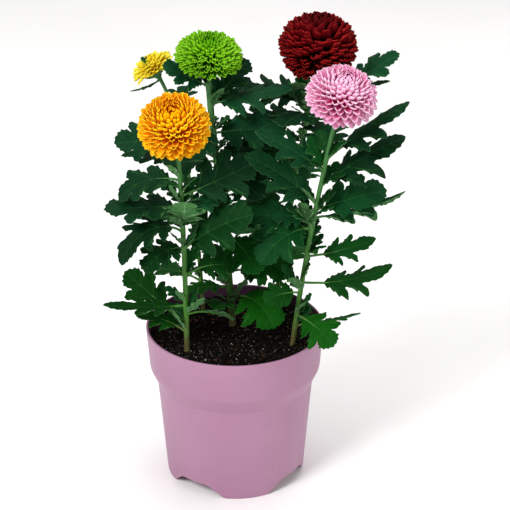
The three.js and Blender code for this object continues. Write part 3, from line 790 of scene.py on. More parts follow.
# %% Leaf outlines and veins
# One half of a margin from base to tip: along the rib in blade lengths, and across in half
# widths. Deep notches part the lobes, and shallow ones the teeth. Narrow leaves have a
# longer end lobe than broad ones. A vein is its points and its width at its start, in mm.
LEAF_SHAPES = {
    "broad": {
        "margin": [
            (0.000, 0.05), (0.015, 0.12), (0.040, 0.30), (0.085, 0.27), (0.120, 0.50), (0.155, 0.49),
            (0.205, 0.74), (0.235, 0.70), (0.300, 0.90), (0.335, 0.86), (0.376, 0.72), (0.372, 0.57),
            (0.350, 0.42), (0.372, 0.41), (0.420, 0.56), (0.455, 0.57), (0.500, 0.82), (0.530, 0.80),
            (0.605, 1.00), (0.650, 1.00), (0.690, 0.92), (0.702, 0.80), (0.722, 0.72), (0.702, 0.57),
            (0.664, 0.45), (0.690, 0.44), (0.755, 0.54), (0.785, 0.51), (0.842, 0.60), (0.860, 0.50),
            (0.915, 0.45), (0.920, 0.34), (0.970, 0.25), (0.970, 0.14), (1.000, 0.00),
        ],
        "veins": [
            ([(0.0, 0.0), (0.5, 0.0), (0.97, 0.0)], 1.0),
            ([(0.01, 0.0), (0.05, 0.25)], 0.4),
            ([(0.04, 0.0), (0.17, 0.38), (0.295, 0.80)], 0.6),
            ([(0.115, 0.22), (0.20, 0.66)], 0.32),
            ([(0.185, 0.43), (0.35, 0.62)], 0.32),
            ([(0.28, 0.0), (0.45, 0.42), (0.65, 0.93)], 0.6),
            ([(0.40, 0.30), (0.50, 0.77)], 0.32),
            ([(0.48, 0.49), (0.59, 0.93)], 0.32),
            ([(0.52, 0.58), (0.705, 0.70)], 0.32),
            ([(0.58, 0.0), (0.70, 0.26), (0.83, 0.55)], 0.45),
            ([(0.76, 0.0), (0.905, 0.40)], 0.35),
            ([(0.87, 0.0), (0.96, 0.20)], 0.3),
        ],
    },
    "narrow": {
        "margin": [
            (0.000, 0.05), (0.020, 0.14), (0.050, 0.32), (0.080, 0.27), (0.120, 0.50), (0.150, 0.49),
            (0.200, 0.80), (0.230, 0.76), (0.300, 0.98), (0.325, 0.86), (0.328, 0.70), (0.308, 0.54),
            (0.290, 0.42), (0.312, 0.40), (0.360, 0.48), (0.390, 0.46), (0.440, 0.72), (0.465, 0.69),
            (0.535, 0.94), (0.580, 0.97), (0.592, 0.82), (0.588, 0.66), (0.558, 0.50), (0.535, 0.40),
            (0.562, 0.37), (0.630, 0.42), (0.655, 0.40), (0.725, 0.48), (0.750, 0.43), (0.820, 0.43),
            (0.840, 0.34), (0.905, 0.31), (0.925, 0.23), (0.970, 0.15), (1.000, 0.00),
        ],
        "veins": [
            ([(0.0, 0.0), (0.5, 0.0), (0.97, 0.0)], 1.0),
            ([(0.01, 0.0), (0.055, 0.26)], 0.4),
            ([(0.03, 0.0), (0.15, 0.40), (0.285, 0.88)], 0.6),
            ([(0.10, 0.24), (0.195, 0.70)], 0.32),
            ([(0.17, 0.46), (0.305, 0.62)], 0.32),
            ([(0.20, 0.0), (0.37, 0.40), (0.555, 0.88)], 0.6),
            ([(0.31, 0.26), (0.435, 0.64)], 0.32),
            ([(0.42, 0.52), (0.565, 0.70)], 0.32),
            ([(0.46, 0.0), (0.61, 0.30)], 0.4),
            ([(0.56, 0.0), (0.71, 0.37)], 0.4),
            ([(0.68, 0.0), (0.81, 0.34)], 0.35),
            ([(0.80, 0.0), (0.90, 0.26)], 0.3),
        ],
    },
}  # fmt: skip
BROAD_FROM = 0.78  # a blade is broad from this width on, in lengths
NOMINAL = (44.0, 19.0)  # length and half width of a middling blade, millimetres


# %% Leaf curves
def curve_through(points, steps):
    """A smooth open curve through the points (Catmull-Rom), with the ends kept."""
    p = np.array(points, float)
    p = np.vstack([2 * p[0] - p[1], p, 2 * p[-1] - p[-2]])
    out = []
    for i in range(1, len(p) - 2):
        a, b, c, d = p[i - 1 : i + 3]
        for t in np.arange(steps) / steps:
            square, cube = 2 * a - 5 * b + 4 * c - d, 3 * b - a - 3 * c + d
            out.append(0.5 * (2 * b + (c - a) * t + square * t**2 + cube * t**3))
    return np.array(out + [p[-2]])


def inside(points, ring):
    """Which points lie inside a closed ring, by counting crossings of a ray."""
    x, y = points[:, 0][:, None], points[:, 1][:, None]
    ax, ay = ring[:, 0], ring[:, 1]
    bx, by = np.roll(ax, -1), np.roll(ay, -1)
    crossing = (ay > y) != (by > y)
    at = ax + (y - ay) * (bx - ax) / np.where(by == ay, 1e-12, by - ay)
    return (np.sum(crossing & (x < at), axis=1) % 2) == 1


def distance_to(points, line):
    """Distance from each point to an open line of points, and how far along it is nearest."""
    best = np.full(len(points), 1e9)
    share = np.zeros(len(points))
    spans = len(line) - 1
    for i in range(spans):
        a, b = line[i], line[i + 1]
        t = np.clip(((points - a) @ (b - a)) / max((b - a) @ (b - a), 1e-12), 0, 1)
        d = np.linalg.norm(points - (a + t[:, None] * (b - a)), axis=1)
        nearer = d < best
        best[nearer] = d[nearer]
        share[nearer] = (i + t[nearer]) / spans
    return best, share


# %% Flat leaf
# Inside its margin and veins a flat leaf is filled with a triangular grid, slightly jittered.
MARGIN_STRAY = (0.008, 0.05)  # of a margin's points, along and across
ROW_STEP = 0.87  # between the grid's rows, in spacings, like the distances below
JITTER = 0.1
MARGIN_CLEAR, VEIN_CLEAR = 0.45, 0.4
VEIN_TAPER = 0.55  # how much of a vein's width is gone at its end
VEIN_STEPS = 6
LEAF_GRID, SHOOT_GRID = 1.2, 2.6  # spacing of the grid, millimetres
LEAF_STEPS, SHOOT_STEPS = 3, 2  # of the margin between two of its points
LEAF_SEEDS, SHOOT_SEED = (5, 12, 27), 44


def leaf_margin(shape, draw, steps):
    """The closed outline of a leaf, with both halves a little different."""
    margin, (along, across) = LEAF_SHAPES[shape]["margin"], MARGIN_STRAY
    halves = []
    for hand in (1, -1):
        wobble = []
        for u, v in margin[1:-1]:
            wobble.append((u + draw.uniform(-along, along), v * (1 + draw.uniform(-across, across))))
        halves.append(curve_through([margin[0], *wobble, margin[-1]], steps) * (1, hand))
    return np.vstack([halves[0], halves[1][-2::-1]]) * NOMINAL


def leaf_veins(shape):
    """Every vein as a line and a width. The side veins come in pairs."""
    lines = []
    for points, width in LEAF_SHAPES[shape]["veins"]:
        line = curve_through(points, VEIN_STEPS) if len(points) > 2 else np.array(points)
        for hand in (1, -1) if points[-1][1] else (1,):
            lines.append((line * (1, hand) * NOMINAL, width))
    return lines


def flat_leaf(shape, spacing, steps, seed):
    """A flat leaf: points as (along, across), triangles, and each point's distance to the
    nearest vein in vein widths and in millimetres."""
    draw = random.Random(seed)
    ring, lines = leaf_margin(shape, draw, steps), leaf_veins(shape)
    length, half = NOMINAL[0], NOMINAL[1] * 1.05
    grid = []
    for row in range(int(2 * half / (spacing * ROW_STEP)) + 1):
        y = -half + row * spacing * ROW_STEP
        for column in range(int(length / spacing) + 1):
            x = (column + 0.5 * (row % 2)) * spacing
            off_x, off_y = draw.uniform(-JITTER, JITTER), draw.uniform(-JITTER, JITTER)
            grid.append((x + off_x * spacing, y + off_y * spacing))
    grid = np.array(grid)
    clear = inside(grid, ring)
    clear &= distance_to(grid, np.vstack([ring, ring[:1]]))[0] > MARGIN_CLEAR * spacing
    for line, _ in lines:
        clear &= distance_to(grid, line)[0] > VEIN_CLEAR * spacing
    points = [Vector(p) for p in ring]
    edges = []
    for line, _ in lines:
        first = len(points)
        points += [Vector(p) for p in line]
        edges += [(i, i + 1) for i in range(first, len(points) - 1)]
    points += [Vector(p) for p in grid[clear]]
    found = delaunay_2d_cdt(points, edges, [list(range(len(ring)))], 1, 1e-4)
    placed, faces = np.array([tuple(p) for p in found[0]]), np.array(found[2])
    a, b, c = (placed[faces[:, i]] for i in range(3))
    ab, ac = b - a, c - a
    turned_round = ab[:, 0] * ac[:, 1] < ab[:, 1] * ac[:, 0]
    faces[turned_round] = faces[turned_round][:, ::-1]
    widths, gaps = np.full(len(placed), 1e9), np.full(len(placed), 1e9)
    for line, width in lines:
        gap, share = distance_to(placed, line)
        widths = np.minimum(widths, gap / (0.5 * width * (1 - VEIN_TAPER * share)))
        gaps = np.minimum(gaps, gap)
    return {"points": placed / NOMINAL, "faces": faces, "widths": widths, "gaps": gaps}


LEAF_PATTERNS = {
    shape: [flat_leaf(shape, LEAF_GRID, LEAF_STEPS, seed) for seed in LEAF_SEEDS] for shape in LEAF_SHAPES
}
SMALL_PATTERN = flat_leaf("broad", SHOOT_GRID, SHOOT_STEPS, SHOOT_SEED)
print("triangles in a flat leaf:", [len(p["faces"]) for p in [*LEAF_PATTERNS["broad"], SMALL_PATTERN]])

# %% Leaf bending
LEAF = {
    "crease": 0.04,  # how far the sharp fold at the rib is rounded, in half widths
    "fold": 14,  # how far each half rises from the rib unless the leaf says, degrees
    "curl": 0.25,  # how far the margin turns down again, in half widths, like the next three
    "wave": 0.055,
    "ripple": 0.035,
    "twist": 0.10,
    "waves": (1.6, 2.5),  # in a blade's length
    "ripples": 4.6,
    "swell": 0.5,  # of the blade between its veins, millimetres
    "swell_reach": 1.6,  # from a vein to where the blade is nearly full, millimetres
    "thickness": 0.42,
    "thinning": 0.35,  # of the thickness, lost at the margin
    "rib_ridge": 0.5,  # of the midrib below the blade, millimetres
    "rib_reach": 2.2,  # in vein widths
}
RIB_STEPS = 96


def rib_of(plant, leaf):
    """How a leaf's rib runs: a function from distance along it to point, side and normal."""
    height, azimuth, petiole, blade, _, rise, droop, roll = leaf[:8]
    length = petiole + blade
    steps = np.arange(RIB_STEPS + 1)
    ways = heading(azimuth, rise - droop * (steps[:-1] + 0.5) / RIB_STEPS)
    start = stem_at(plant, stem_share(plant, height))
    path = np.vstack([start, start + np.cumsum(ways, axis=0) * length / RIB_STEPS])
    c, s = math.cos(math.radians(roll)), math.sin(math.radians(roll))

    def rib(distance):
        share = np.clip(np.asarray(distance, float) / length, 0, 1)
        at = np.stack([np.interp(share * RIB_STEPS, steps, axis) for axis in path.T], axis=-1)
        along = heading(azimuth, rise - droop * share)
        level = np.broadcast_to(heading(azimuth + 90, 0), along.shape)
        upright = np.cross(along, level)
        return at, level * c + upright * s, upright * c - level * s

    return rib


def bend_leaf(plant, leaf, pattern, draw, crumple=1.0):
    """Upper and lower points of a flat leaf laid along its rib, in millimetres."""
    petiole, blade, width = leaf[2:5]
    fold = math.radians(leaf[8] if len(leaf) > 8 else LEAF["fold"])
    u, v = pattern["points"].T
    half, size = width / 2, blade / NOMINAL[0]
    at, side, normal = rib_of(plant, leaf)(petiole + u * blade)
    out = np.sqrt(v**2 + LEAF["crease"] ** 2) - LEAF["crease"]
    rise = half * (math.sin(fold) * out - LEAF["curl"] * out**2)
    hand = np.where(v >= 0, 1.0, 0.0)
    phase = hand * draw.uniform(0, 6.3) + (1 - hand) * draw.uniform(0, 6.3)
    waves = np.sin(2 * math.pi * draw.uniform(*LEAF["waves"]) * u + phase)
    ripples = np.sin(2 * math.pi * LEAF["ripples"] * u + 2 * phase)
    rise += LEAF["wave"] * crumple * half * np.abs(v) ** 1.6 * waves
    rise += LEAF["ripple"] * crumple * half * np.abs(v) * ripples
    rise += draw.uniform(-LEAF["twist"], LEAF["twist"]) * crumple * half * v * u
    rise += LEAF["swell"] * size * (1 - np.exp(-pattern["gaps"] * size / LEAF["swell_reach"]))
    rise -= 0.5 * LEAF["swell"]
    thickness = LEAF["thickness"] * (1 - LEAF["thinning"] * np.clip(np.abs(v), 0, 1))
    near_rib = np.clip(1 - pattern["widths"] / LEAF["rib_reach"], 0, 1)
    ridge = LEAF["rib_ridge"] * size * near_rib * (1 - 0.5 * u)
    middle = at + side * (v * half * math.cos(fold))[:, None] + normal * rise[:, None]
    upper = middle + normal * (thickness / 2)[:, None]
    lower = middle - normal * (thickness / 2 + ridge)[:, None]
    return upper, lower


# %% Leaves into one mesh
class LeafMesh:
    """Collects bent leaves. The upper face is material 0; the lower face and rim are 1."""

    def __init__(self):
        self.points, self.faces, self.kinds = [], [], []
        self.layers = {"vein": [], "age": [], "tone": []}
        self.count = 0

    def add(self, upper, lower, pattern, age, tone):
        n, faces = len(upper), pattern["faces"]
        self.points += [upper, lower]
        edges = np.vstack([faces[:, [0, 1]], faces[:, [1, 2]], faces[:, [2, 0]]])
        known = set(map(tuple, edges))
        a, b = np.array([(a, b) for a, b in edges if (b, a) not in known]).T
        sides = np.vstack([np.column_stack([a, a + n, b + n]), np.column_stack([a, b + n, b])])
        self.faces.append(np.vstack([faces, faces[:, ::-1] + n, sides]) + self.count)
        self.kinds.append(np.repeat([0, 1], [len(faces), len(faces) + len(sides)]))
        veins = np.tile(np.clip(pattern["widths"], 0, 12), 2)
        for key, values in {"vein": veins, "age": age, "tone": tone}.items():
            self.layers[key].append(np.broadcast_to(values, 2 * n))
        self.count += 2 * n

    def piece(self, name, *materials):
        points = np.vstack(self.points) * MM + np.array(pot_axis)
        piece = new_piece(name, points, np.vstack(self.faces).tolist(), *materials)
        piece.data.polygons.foreach_set("material_index", np.concatenate(self.kinds).astype(np.int32))
        mark(piece, {key: np.concatenate(values) for key, values in self.layers.items()})
        return piece


# %% Leaf finishes
# The upper face is a dark blue green, with a soft sheen and fine pale veins. On the young upper
# leaves part of that blue is painted sheen, of light falling from above. Lower and older leaves
# are a warmer, brighter green. The underside is pale and matt, because fine hairs cover it.
def leaf_upper():
    leaf = Finish("leaf_upper", roughness=0.5, specular=0.06)
    patch, mottle = leaf.noise(60.0, 2.0), leaf.noise(700.0, 3.0)
    # The young tints are bluer partly as painted sheen of light from above.
    young, old = leaf.mix(patch, "06321c", "0f4628"), leaf.mix(patch, "043f00", "125e06")
    tint = leaf.mix(leaf.attribute("age"), young, old)
    tint = leaf.mix(leaf.remap(mottle, 0.3, 0.7, 0.0, 0.16), tint, "124a1c")
    tint = leaf.mix(leaf.remap(leaf.attribute("tone"), 0.0, 1.0, 0.0, 0.75), tint, "031a06")
    tint = leaf.mix(leaf.remap(leaf.attribute("vein"), 0.4, 1.3, 0.3, 0.0), tint, "346e30")
    cells = leaf.add("ShaderNodeTexVoronoi", {"Vector": leaf.place, "Scale": 520.0}).outputs["Distance"]
    normal = leaf.bump(mottle, 0.0003, 0.5, leaf.bump(cells, 0.0005, 0.35))
    return leaf.done(tint, normal, leaf.remap(mottle, 0.2, 0.8, 0.5, 0.66))


def leaf_under():
    leaf = Finish("leaf_under", roughness=0.75, specular=0.1)
    leaf.shader["Sheen Weight"].default_value = 0.08
    mottle = leaf.noise(500.0, 3.0)
    tint = leaf.mix(mottle, "386a38", "4f864a")
    tint = leaf.mix(leaf.remap(leaf.attribute("tone"), 0.0, 1.0, 0.0, 0.55), tint, "16401a")
    tint = leaf.mix(leaf.remap(leaf.attribute("vein"), 0.5, 1.6, 0.6, 0.0), tint, "84b074")
    return leaf.done(tint, leaf.bump(mottle, 0.0003, 0.6))


upper_material, under_material = leaf_upper(), leaf_under()


# %% Grow the leaves
SHOOT = {"turns": (-32, 30), "length": (12, 25), "width": (0.5, 0.75), "petiole": 2.5}
SHOOT_CRUMPLE, SHOOT_AGE = 1.5, 0.45
OLD_ABOVE_SOIL, YOUNG_BELOW_TOP, AGE_STRAY = 20, 70, 12  # heights in millimetres


def axil_shoots(plant, draw):
    """Small young leaves that stand in the angle between each leaf and the stem."""
    shoots = []
    for height, azimuth, *_ in plant["leaves"]:
        for turn in SHOOT["turns"]:
            length = draw.uniform(*SHOOT["length"])
            way, width = azimuth + turn + draw.uniform(-12, 12), length * draw.uniform(*SHOOT["width"])
            bends = draw.uniform(35, 70), draw.uniform(-10, 40), draw.uniform(-30, 30)
            shoots.append([height + 1.5, way, SHOOT["petiole"], length, width, *bends])
    return shoots


for number, plant in enumerate(PLANTS):
    draw = random.Random(100 + number)
    leaves = LeafMesh()
    top = plant["bloom"]["centre"][2]
    for leaf in plant["leaves"]:
        height, blade, width = leaf[0], leaf[3], leaf[4]
        pattern = draw.choice(LEAF_PATTERNS["broad" if width >= BROAD_FROM * blade else "narrow"])
        level = height + draw.uniform(-AGE_STRAY, AGE_STRAY)
        age = 1 - smooth_step(SOIL_LEVEL + OLD_ABOVE_SOIL, top - YOUNG_BELOW_TOP, level)
        leaves.add(*bend_leaf(plant, leaf, pattern, draw), pattern, age, draw.random())
    for shoot in axil_shoots(plant, draw):
        bent = bend_leaf(plant, shoot, SMALL_PATTERN, draw, SHOOT_CRUMPLE)
        leaves.add(*bent, SMALL_PATTERN, SHOOT_AGE, draw.random())
    piece = leaves.piece("leaves_" + plant["name"], upper_material, under_material)
    adopt(piece, "foliage", "leafy_stem_" + plant["name"])

# %% [markdown]
# ## Stems and petioles
# A stem is woody and brown where it leaves the compost and green above, ribbed along its
# length and slightly thick where a leaf joins. A row of cylinders would show its joints. A
# curve that carries its own radius gives one smooth tube, and the leaf stalks are more
# curves in the same set, each running on under its blade as the midrib. Geometry Nodes sweep
# a ribbed section along all of them at once.


# %% Stem lines
STEM_FROM = 0.06  # below this share of its curve, a stem is deep in the compost
UNDER_BLADE = np.array([0.08, 0.2, 0.35, 0.5, 0.7, 0.88])  # where a midrib has points
# A leaf stalk is thickest where it joins the stem. It runs on under the blade, sunk by half a
# millimetre or so, thinner and thinner to the tip. Small leaves have thinner stalks.
PETIOLE_RADII = [1.6, 1.0, 0.9, 0.55, 0.12]
JOINT_LENGTH, FULL_STALK = 2.5, 50  # millimetres
SUNK, SINK_OVER = 0.55, 3.0


def tube_line(points, radii):
    """One line of a curve set: points in millimetres from the axis, and a radius at each."""
    return np.asarray(points, float) * MM + np.array(pot_axis), np.asarray(radii, float) * MM


def stem_line(plant):
    t = np.linspace(STEM_FROM, 1.0, 90)
    points = stem_at(plant, t)
    radii = STEM["foot_radius"] + (STEM["neck_radius"] - STEM["foot_radius"]) * t
    for height, *_ in plant["leaves"]:
        radii = radii + STEM["joint"] * np.exp(-(((points[:, 2] - height) / STEM["joint_reach"]) ** 2))
    size = min(1.0, plant["bloom"]["radius"] / STEM["full_bloom"])
    near = np.linalg.norm(points - points[-1], axis=1) / STEM["cup_reach"] / size**2
    cup = STEM["cup_radius"] * size / plant["girth"] - STEM["neck_radius"]
    return tube_line(points, (radii + cup * np.exp(-(near**2))) * plant["girth"])


def petiole_line(plant, leaf):
    petiole, blade = leaf[2:4]
    distance = np.concatenate([np.linspace(0, petiole, 7), petiole + blade * UNDER_BLADE])
    at, _, normal = rib_of(plant, leaf)(distance)
    under = np.clip((distance - petiole) / SINK_OVER + 0.5, 0, 1) * SUNK * blade / NOMINAL[0]
    corners = [0, JOINT_LENGTH, petiole, petiole + 0.3 * blade, petiole + blade]
    radii = np.interp(distance, corners, PETIOLE_RADII) * min(1.0, 0.35 + blade / FULL_STALK)
    return tube_line(at - normal * under[:, None], radii)


def line_set(name, lines):
    """A curve object that holds the lines as splines with radii."""
    curves = bpy.data.curves.new(name, "CURVE")
    curves.dimensions = "3D"
    for points, radii in lines:
        spline = curves.splines.new("POLY")
        spline.points.add(len(points) - 1)
        spline.points.foreach_set("co", np.column_stack([points, np.ones(len(points))]).ravel())
        spline.points.foreach_set("radius", radii)
    return show(name, curves)


# %% Tube tree
def tube_tree():
    g = Growth("ribbed tubes", {"Sides": "Int", "Ribs": "Float", "Rib Depth": "Float"})
    inputs = {"Resolution": g.given["Sides"], "Radius": 1.0}
    circle = g.add("GeometryNodeCurvePrimitiveCircle", inputs, mode="RADIUS").outputs["Curve"]
    where = g.position()
    parts = g.add("ShaderNodeSeparateXYZ", {0: where}).outputs
    ripple = g.math("COSINE", g.times(g.math("ARCTAN2", parts["Y"], parts["X"]), g.given["Ribs"]))
    pushed = g.scaled(where, g.plus(g.times(ripple, g.given["Rib Depth"]), 1.0))
    section = g.add("GeometryNodeSetPosition", {"Geometry": circle, "Position": pushed}).outputs[0]
    inputs = {"Curve": g.given["Geometry"], "Profile Curve": section, "Fill Caps": True}
    inputs["Scale"] = g.add("GeometryNodeInputRadius").outputs[0]
    return g.end(g.add("GeometryNodeCurveToMesh", inputs).outputs[0])


# %% Stem finish
def stem_finish():
    stem = Finish("stem_skin", roughness=0.55, specular=0.18)
    height = stem.add("ShaderNodeSeparateXYZ", {0: stem.place}).outputs["Z"]
    uneven = stem.plus(height, stem.remap(stem.noise(160.0, 3.0), 0.0, 1.0, -0.012, 0.012))
    green = stem.mix(stem.remap(uneven, 0.16, 0.33), "3f7424", "376a3f")
    tint = stem.mix(stem.remap(uneven, 0.124, 0.150), "5a4a2c", green)
    streaks = stem.noise(1.0, 2.0, stem.stretched(1400, 1400, 90))
    tint = stem.mix(stem.remap(streaks, 0.4, 0.75, 0.0, 0.4), tint, "6f9f5c")
    return stem.done(tint, stem.bump(streaks, 0.0003, 0.6))


stem_material = stem_finish()
ribbed_tubes = tube_tree()
for plant in PLANTS:
    petioles = [petiole_line(plant, leaf) for leaf in plant["leaves"]]
    guide = line_set("stem_guide", [stem_line(plant), *petioles])
    inputs = {"Sides": 20, "Ribs": 5.0, "Rib Depth": 0.06, "Material": stem_material}
    stem = grow("stem_" + plant["name"], guide, ribbed_tubes, inputs)
    adopt(stem, "foliage", "leafy_stem_" + plant["name"])

# %% [markdown]
# ## Blooms
# What looks like one flower is a head of several hundred florets, each with one petal. They
# open in the order of a spiral: every floret stands 137.5 degrees round from the one before,
# and the youngest are in the middle. Modelling petals one by one would take days, and a
# texture on a ball has no edge. So a few petals are modelled with care, from the short
# incurved ones of the middle to the long ones of the skirt, and Geometry Nodes set them on
# the spiral, tilting each one further from the bloom's axis as the spiral winds outwards.

# %% Bloom table
# Each pair runs from the middle of a bloom to its skirt. count: petals. crowd: over 1 packs
# the middle closer. root: how far out the petals start, in bloom radii. gape: half the angle
# of a petal's trough. bend: how far it curves towards the axis. point: under 1 for a blunt
# tip, over 1 for a pointed one. width: in petal spacings. stray: random tilt. rim: higher
# for a thinner pale rim, which on the red bloom is a painted highlight. rim_behind: how much
# of that rim shows on a petal's outside. Angles are in degrees.
BLOOMS = {
    "orange": {
        "count": 300, "crowd": 1.45, "root": 0.4, "stray": 5, "rim": 3, "rim_behind": 0.0,
        "gape": (104, 72), "bend": (120, 4), "point": (0.5, 1.1), "width": (0.92, 1.12),
    },
    "green": {
        "count": 420, "crowd": 1.25, "root": 0.4, "stray": 6, "rim": 3, "rim_behind": 0.0,
        "gape": (112, 96), "bend": (84, 16), "point": (0.4, 0.5), "width": (0.78, 0.84),
    },
    "red": {
        "count": 480, "crowd": 1.15, "root": 0.45, "stray": 16, "rim": 6, "rim_behind": 0.9,
        "gape": (92, 84), "bend": (120, 80), "point": (0.4, 0.5), "width": (1.1, 1.25),
    },
    "pink": {
        "count": 250, "crowd": 1.6, "root": 0.4, "stray": 3, "rim": 3, "rim_behind": 0.0,
        "gape": (106, 72), "bend": (120, 0), "point": (0.5, 1.25), "width": (0.92, 1.12),
    },
    "yellow": {
        "count": 150, "crowd": 1.1, "root": 0.24, "stray": 7, "rim": 3, "rim_behind": 0.0,
        "gape": (96, 80), "bend": (50, -14), "point": (0.6, 0.9), "width": (0.8, 0.86),
    },
}  # fmt: skip
VARIANTS = 8  # petal models from the middle of a bloom to its skirt


# %% Bloom measures
def tip_reach(polar, bloom):
    """Where a petal's tip is, in bloom radii: out from the axis and forward along it."""
    flat = bloom["dome"] if polar < math.pi / 2 else bloom["skirt"]
    return math.sin(polar), math.cos(polar) * flat


def between(pair, share):
    return pair[0] + (pair[1] - pair[0]) * share


# %% Petal model
PETAL = {
    "stations": (0.0, 0.22, 0.44, 0.62, 0.77, 0.89, 0.965),  # of its rings, in lengths
    "across": (-1.0, -0.55, 0.0, 0.55, 1.0),  # points over the trough, in half widths
    "widest": 0.68,  # in lengths from the root
    "root_width": 0.42,  # in widths
    "wall": (0.38, 0.10),  # thickness at the root and at the tip, millimetres
    "late": 1.5,  # over 1, so that a petal bends more towards its tip
}


def petal_curve(length, bend):
    """The middle line of a petal, of which the straight chord from root to tip is the length
    and lies along Z: shares of the way, x, z and lean."""
    fine = np.linspace(0, 1, 60)
    angle = math.radians(bend) * fine ** PETAL["late"]
    step = np.diff(fine, prepend=0.0)
    x, z = -np.cumsum(np.sin(angle) * step), np.cumsum(np.cos(angle) * step)
    tilt, chord = math.atan2(x[-1], z[-1]), math.hypot(x[-1], z[-1])
    c, s, scale = math.cos(tilt), math.sin(tilt), length / chord
    return fine, (x * c - z * s) * scale, (x * s + z * c) * scale, angle + tilt


def petal_model(length, half_width, gape, bend, point):
    """A closed trough along +Z with its hollow towards -X, from root to tip, in millimetres."""
    stations, across = np.array(PETAL["stations"]), np.array(PETAL["across"])
    under = across[-2:0:-1]
    fine, x, z, lean = petal_curve(length, bend)
    widest, root = PETAL["widest"], PETAL["root_width"]
    widen = root + (1 - root) * np.sin(stations / widest * math.pi / 2)
    narrow = np.sqrt(np.clip(1 - ((stations - widest) / (1 - widest)) ** 2, 0, 1)) ** point
    trough = math.radians(gape)
    points = []
    for t, w in zip(stations, np.where(stations < widest, widen, narrow) * half_width):
        radius = w / math.sin(min(trough, math.pi / 2))
        wall = between(PETAL["wall"], t)
        place, way = (np.interp(t, fine, values) for values in (x, lean))
        middle = np.array([place, 0, np.interp(t, fine, z)])
        hollow = np.array([-math.cos(way), 0, -math.sin(way)])
        for row, reach in ((across, radius), (under, radius + wall)):
            for share in row * trough:
                out, rise = reach * math.sin(share), radius - reach * math.cos(share)
                points.append(middle + (0, out, 0) + hollow * rise)
    points.append(np.array([x[-1], 0, z[-1]]))
    n, rows = len(across) + len(under), len(stations)
    ring = [(k, (k + 1) % n) for k in range(n)]
    faces = [tuple(range(n))]
    for base in range(0, (rows - 1) * n, n):
        faces += [(base + a, base + n + a, base + n + b, base + b) for a, b in ring]
    top = (rows - 1) * n
    faces += [(top + a, len(points) - 1, top + b) for a, b in ring]
    along = np.append(np.repeat(stations, n), 1.0)
    edge = np.append(np.tile(np.abs([*across, *under]), rows), 1.0)
    inner = np.append(np.tile([1.0] * len(across) + [0.0] * len(under), rows), 0.5)
    return points, faces, {"along": along, "edge": edge, "inner": inner}


# %% Petal sets
def petal_set(plant, style):
    """A collection of petal models, from the bloom's middle to its skirt."""
    name, bloom, crowd = plant["name"], plant["bloom"], style["crowd"]
    radius = bloom["radius"]
    shelf = bpy.data.collections.new("petals_" + name)
    cap = 1 - math.cos(math.radians(bloom["last"]))
    for k in range(VARIANTS):
        share = (k + 0.5) / VARIANTS
        reach = math.hypot(*tip_reach(math.acos(1 - cap * share**crowd), bloom))
        area = 2 * math.pi * radius**2 * cap * crowd * share ** (crowd - 1) / style["count"]
        gape, point, width = (between(style[key], share) for key in ("gape", "point", "width"))
        bend = between(style["bend"], share**0.7)
        length, half_width = radius * (1 - style["root"]) * reach, 0.5 * width * math.sqrt(area)
        points, faces, layers = petal_model(length, half_width, gape, bend, point)
        piece = new_piece(f"petal_{name}_{k}", np.array(points) * MM, faces)
        mark(piece, layers)
        bpy.context.scene.collection.objects.unlink(piece)
        shelf.objects.link(piece)
    return shelf


# %% Spiral tree
SIZES = (0.93, 1.05)  # of the petals, drawn at random


def spiral_tree():
    lengths = dict.fromkeys(("Last Angle", "Radius", "Root", "Dome", "Skirt Dome", "Stray"), "Float")
    g = Growth(
        "petals on a spiral",
        {"Petals": "Collection", "Count": "Int", "Crowd": "Float", **lengths, "Seed": "Int"},
    )
    given = g.given
    points = g.add("GeometryNodePoints", {"Count": given["Count"]})
    index = g.add("GeometryNodeInputIndex").outputs[0]
    share = g.math("DIVIDE", g.plus(index, 0.5), given["Count"])
    cap = g.minus(1.0, g.math("COSINE", given["Last Angle"]))
    fall = g.times(cap, g.math("POWER", share, given["Crowd"]))
    polar = g.math("ARCCOSINE", g.minus(1.0, fall))
    turn = g.times(index, GOLDEN_ANGLE)
    behind = g.math("GREATER_THAN", polar, math.pi / 2)
    flat = g.remap(behind, 0.0, 1.0, given["Dome"], given["Skirt Dome"])
    out, forward = g.math("SINE", polar), g.times(g.math("COSINE", polar), flat)

    def stray(stream):
        return g.times(g.random(-1.0, 1.0, stream), given["Stray"])

    reach = g.times(given["Radius"], given["Root"])
    ring = g.times(reach, out)
    around = (g.times(ring, g.math(wave, turn)) for wave in ("COSINE", "SINE"))
    root = g.xyz(*around, g.times(reach, forward))
    tilt = g.plus(g.math("ARCTAN2", out, forward), stray(1))
    rotation = g.xyz(stray(2), tilt, g.plus(turn, stray(3)))
    size = g.random(*SIZES, 4)
    inputs = {"Collection": given["Petals"], "Separate Children": True}
    shelf = g.add("GeometryNodeCollectionInfo", inputs)
    seated = g.add("GeometryNodeSetPosition", {"Geometry": points.outputs[0], "Position": root})
    inputs = {"Points": seated.outputs[0], "Instance": shelf.outputs[0], "Pick Instance": True}
    inputs["Instance Index"] = g.math("FLOOR", g.times(share, float(VARIANTS)))
    inputs.update({"Rotation": rotation, "Scale": g.xyz(size, size, size)})
    placed = g.add("GeometryNodeInstanceOnPoints", inputs).outputs[0]
    shared = g.tagged(placed, "share", share)
    return g.end(g.tagged(shared, "tone", g.random(0.0, 1.0, 5)))


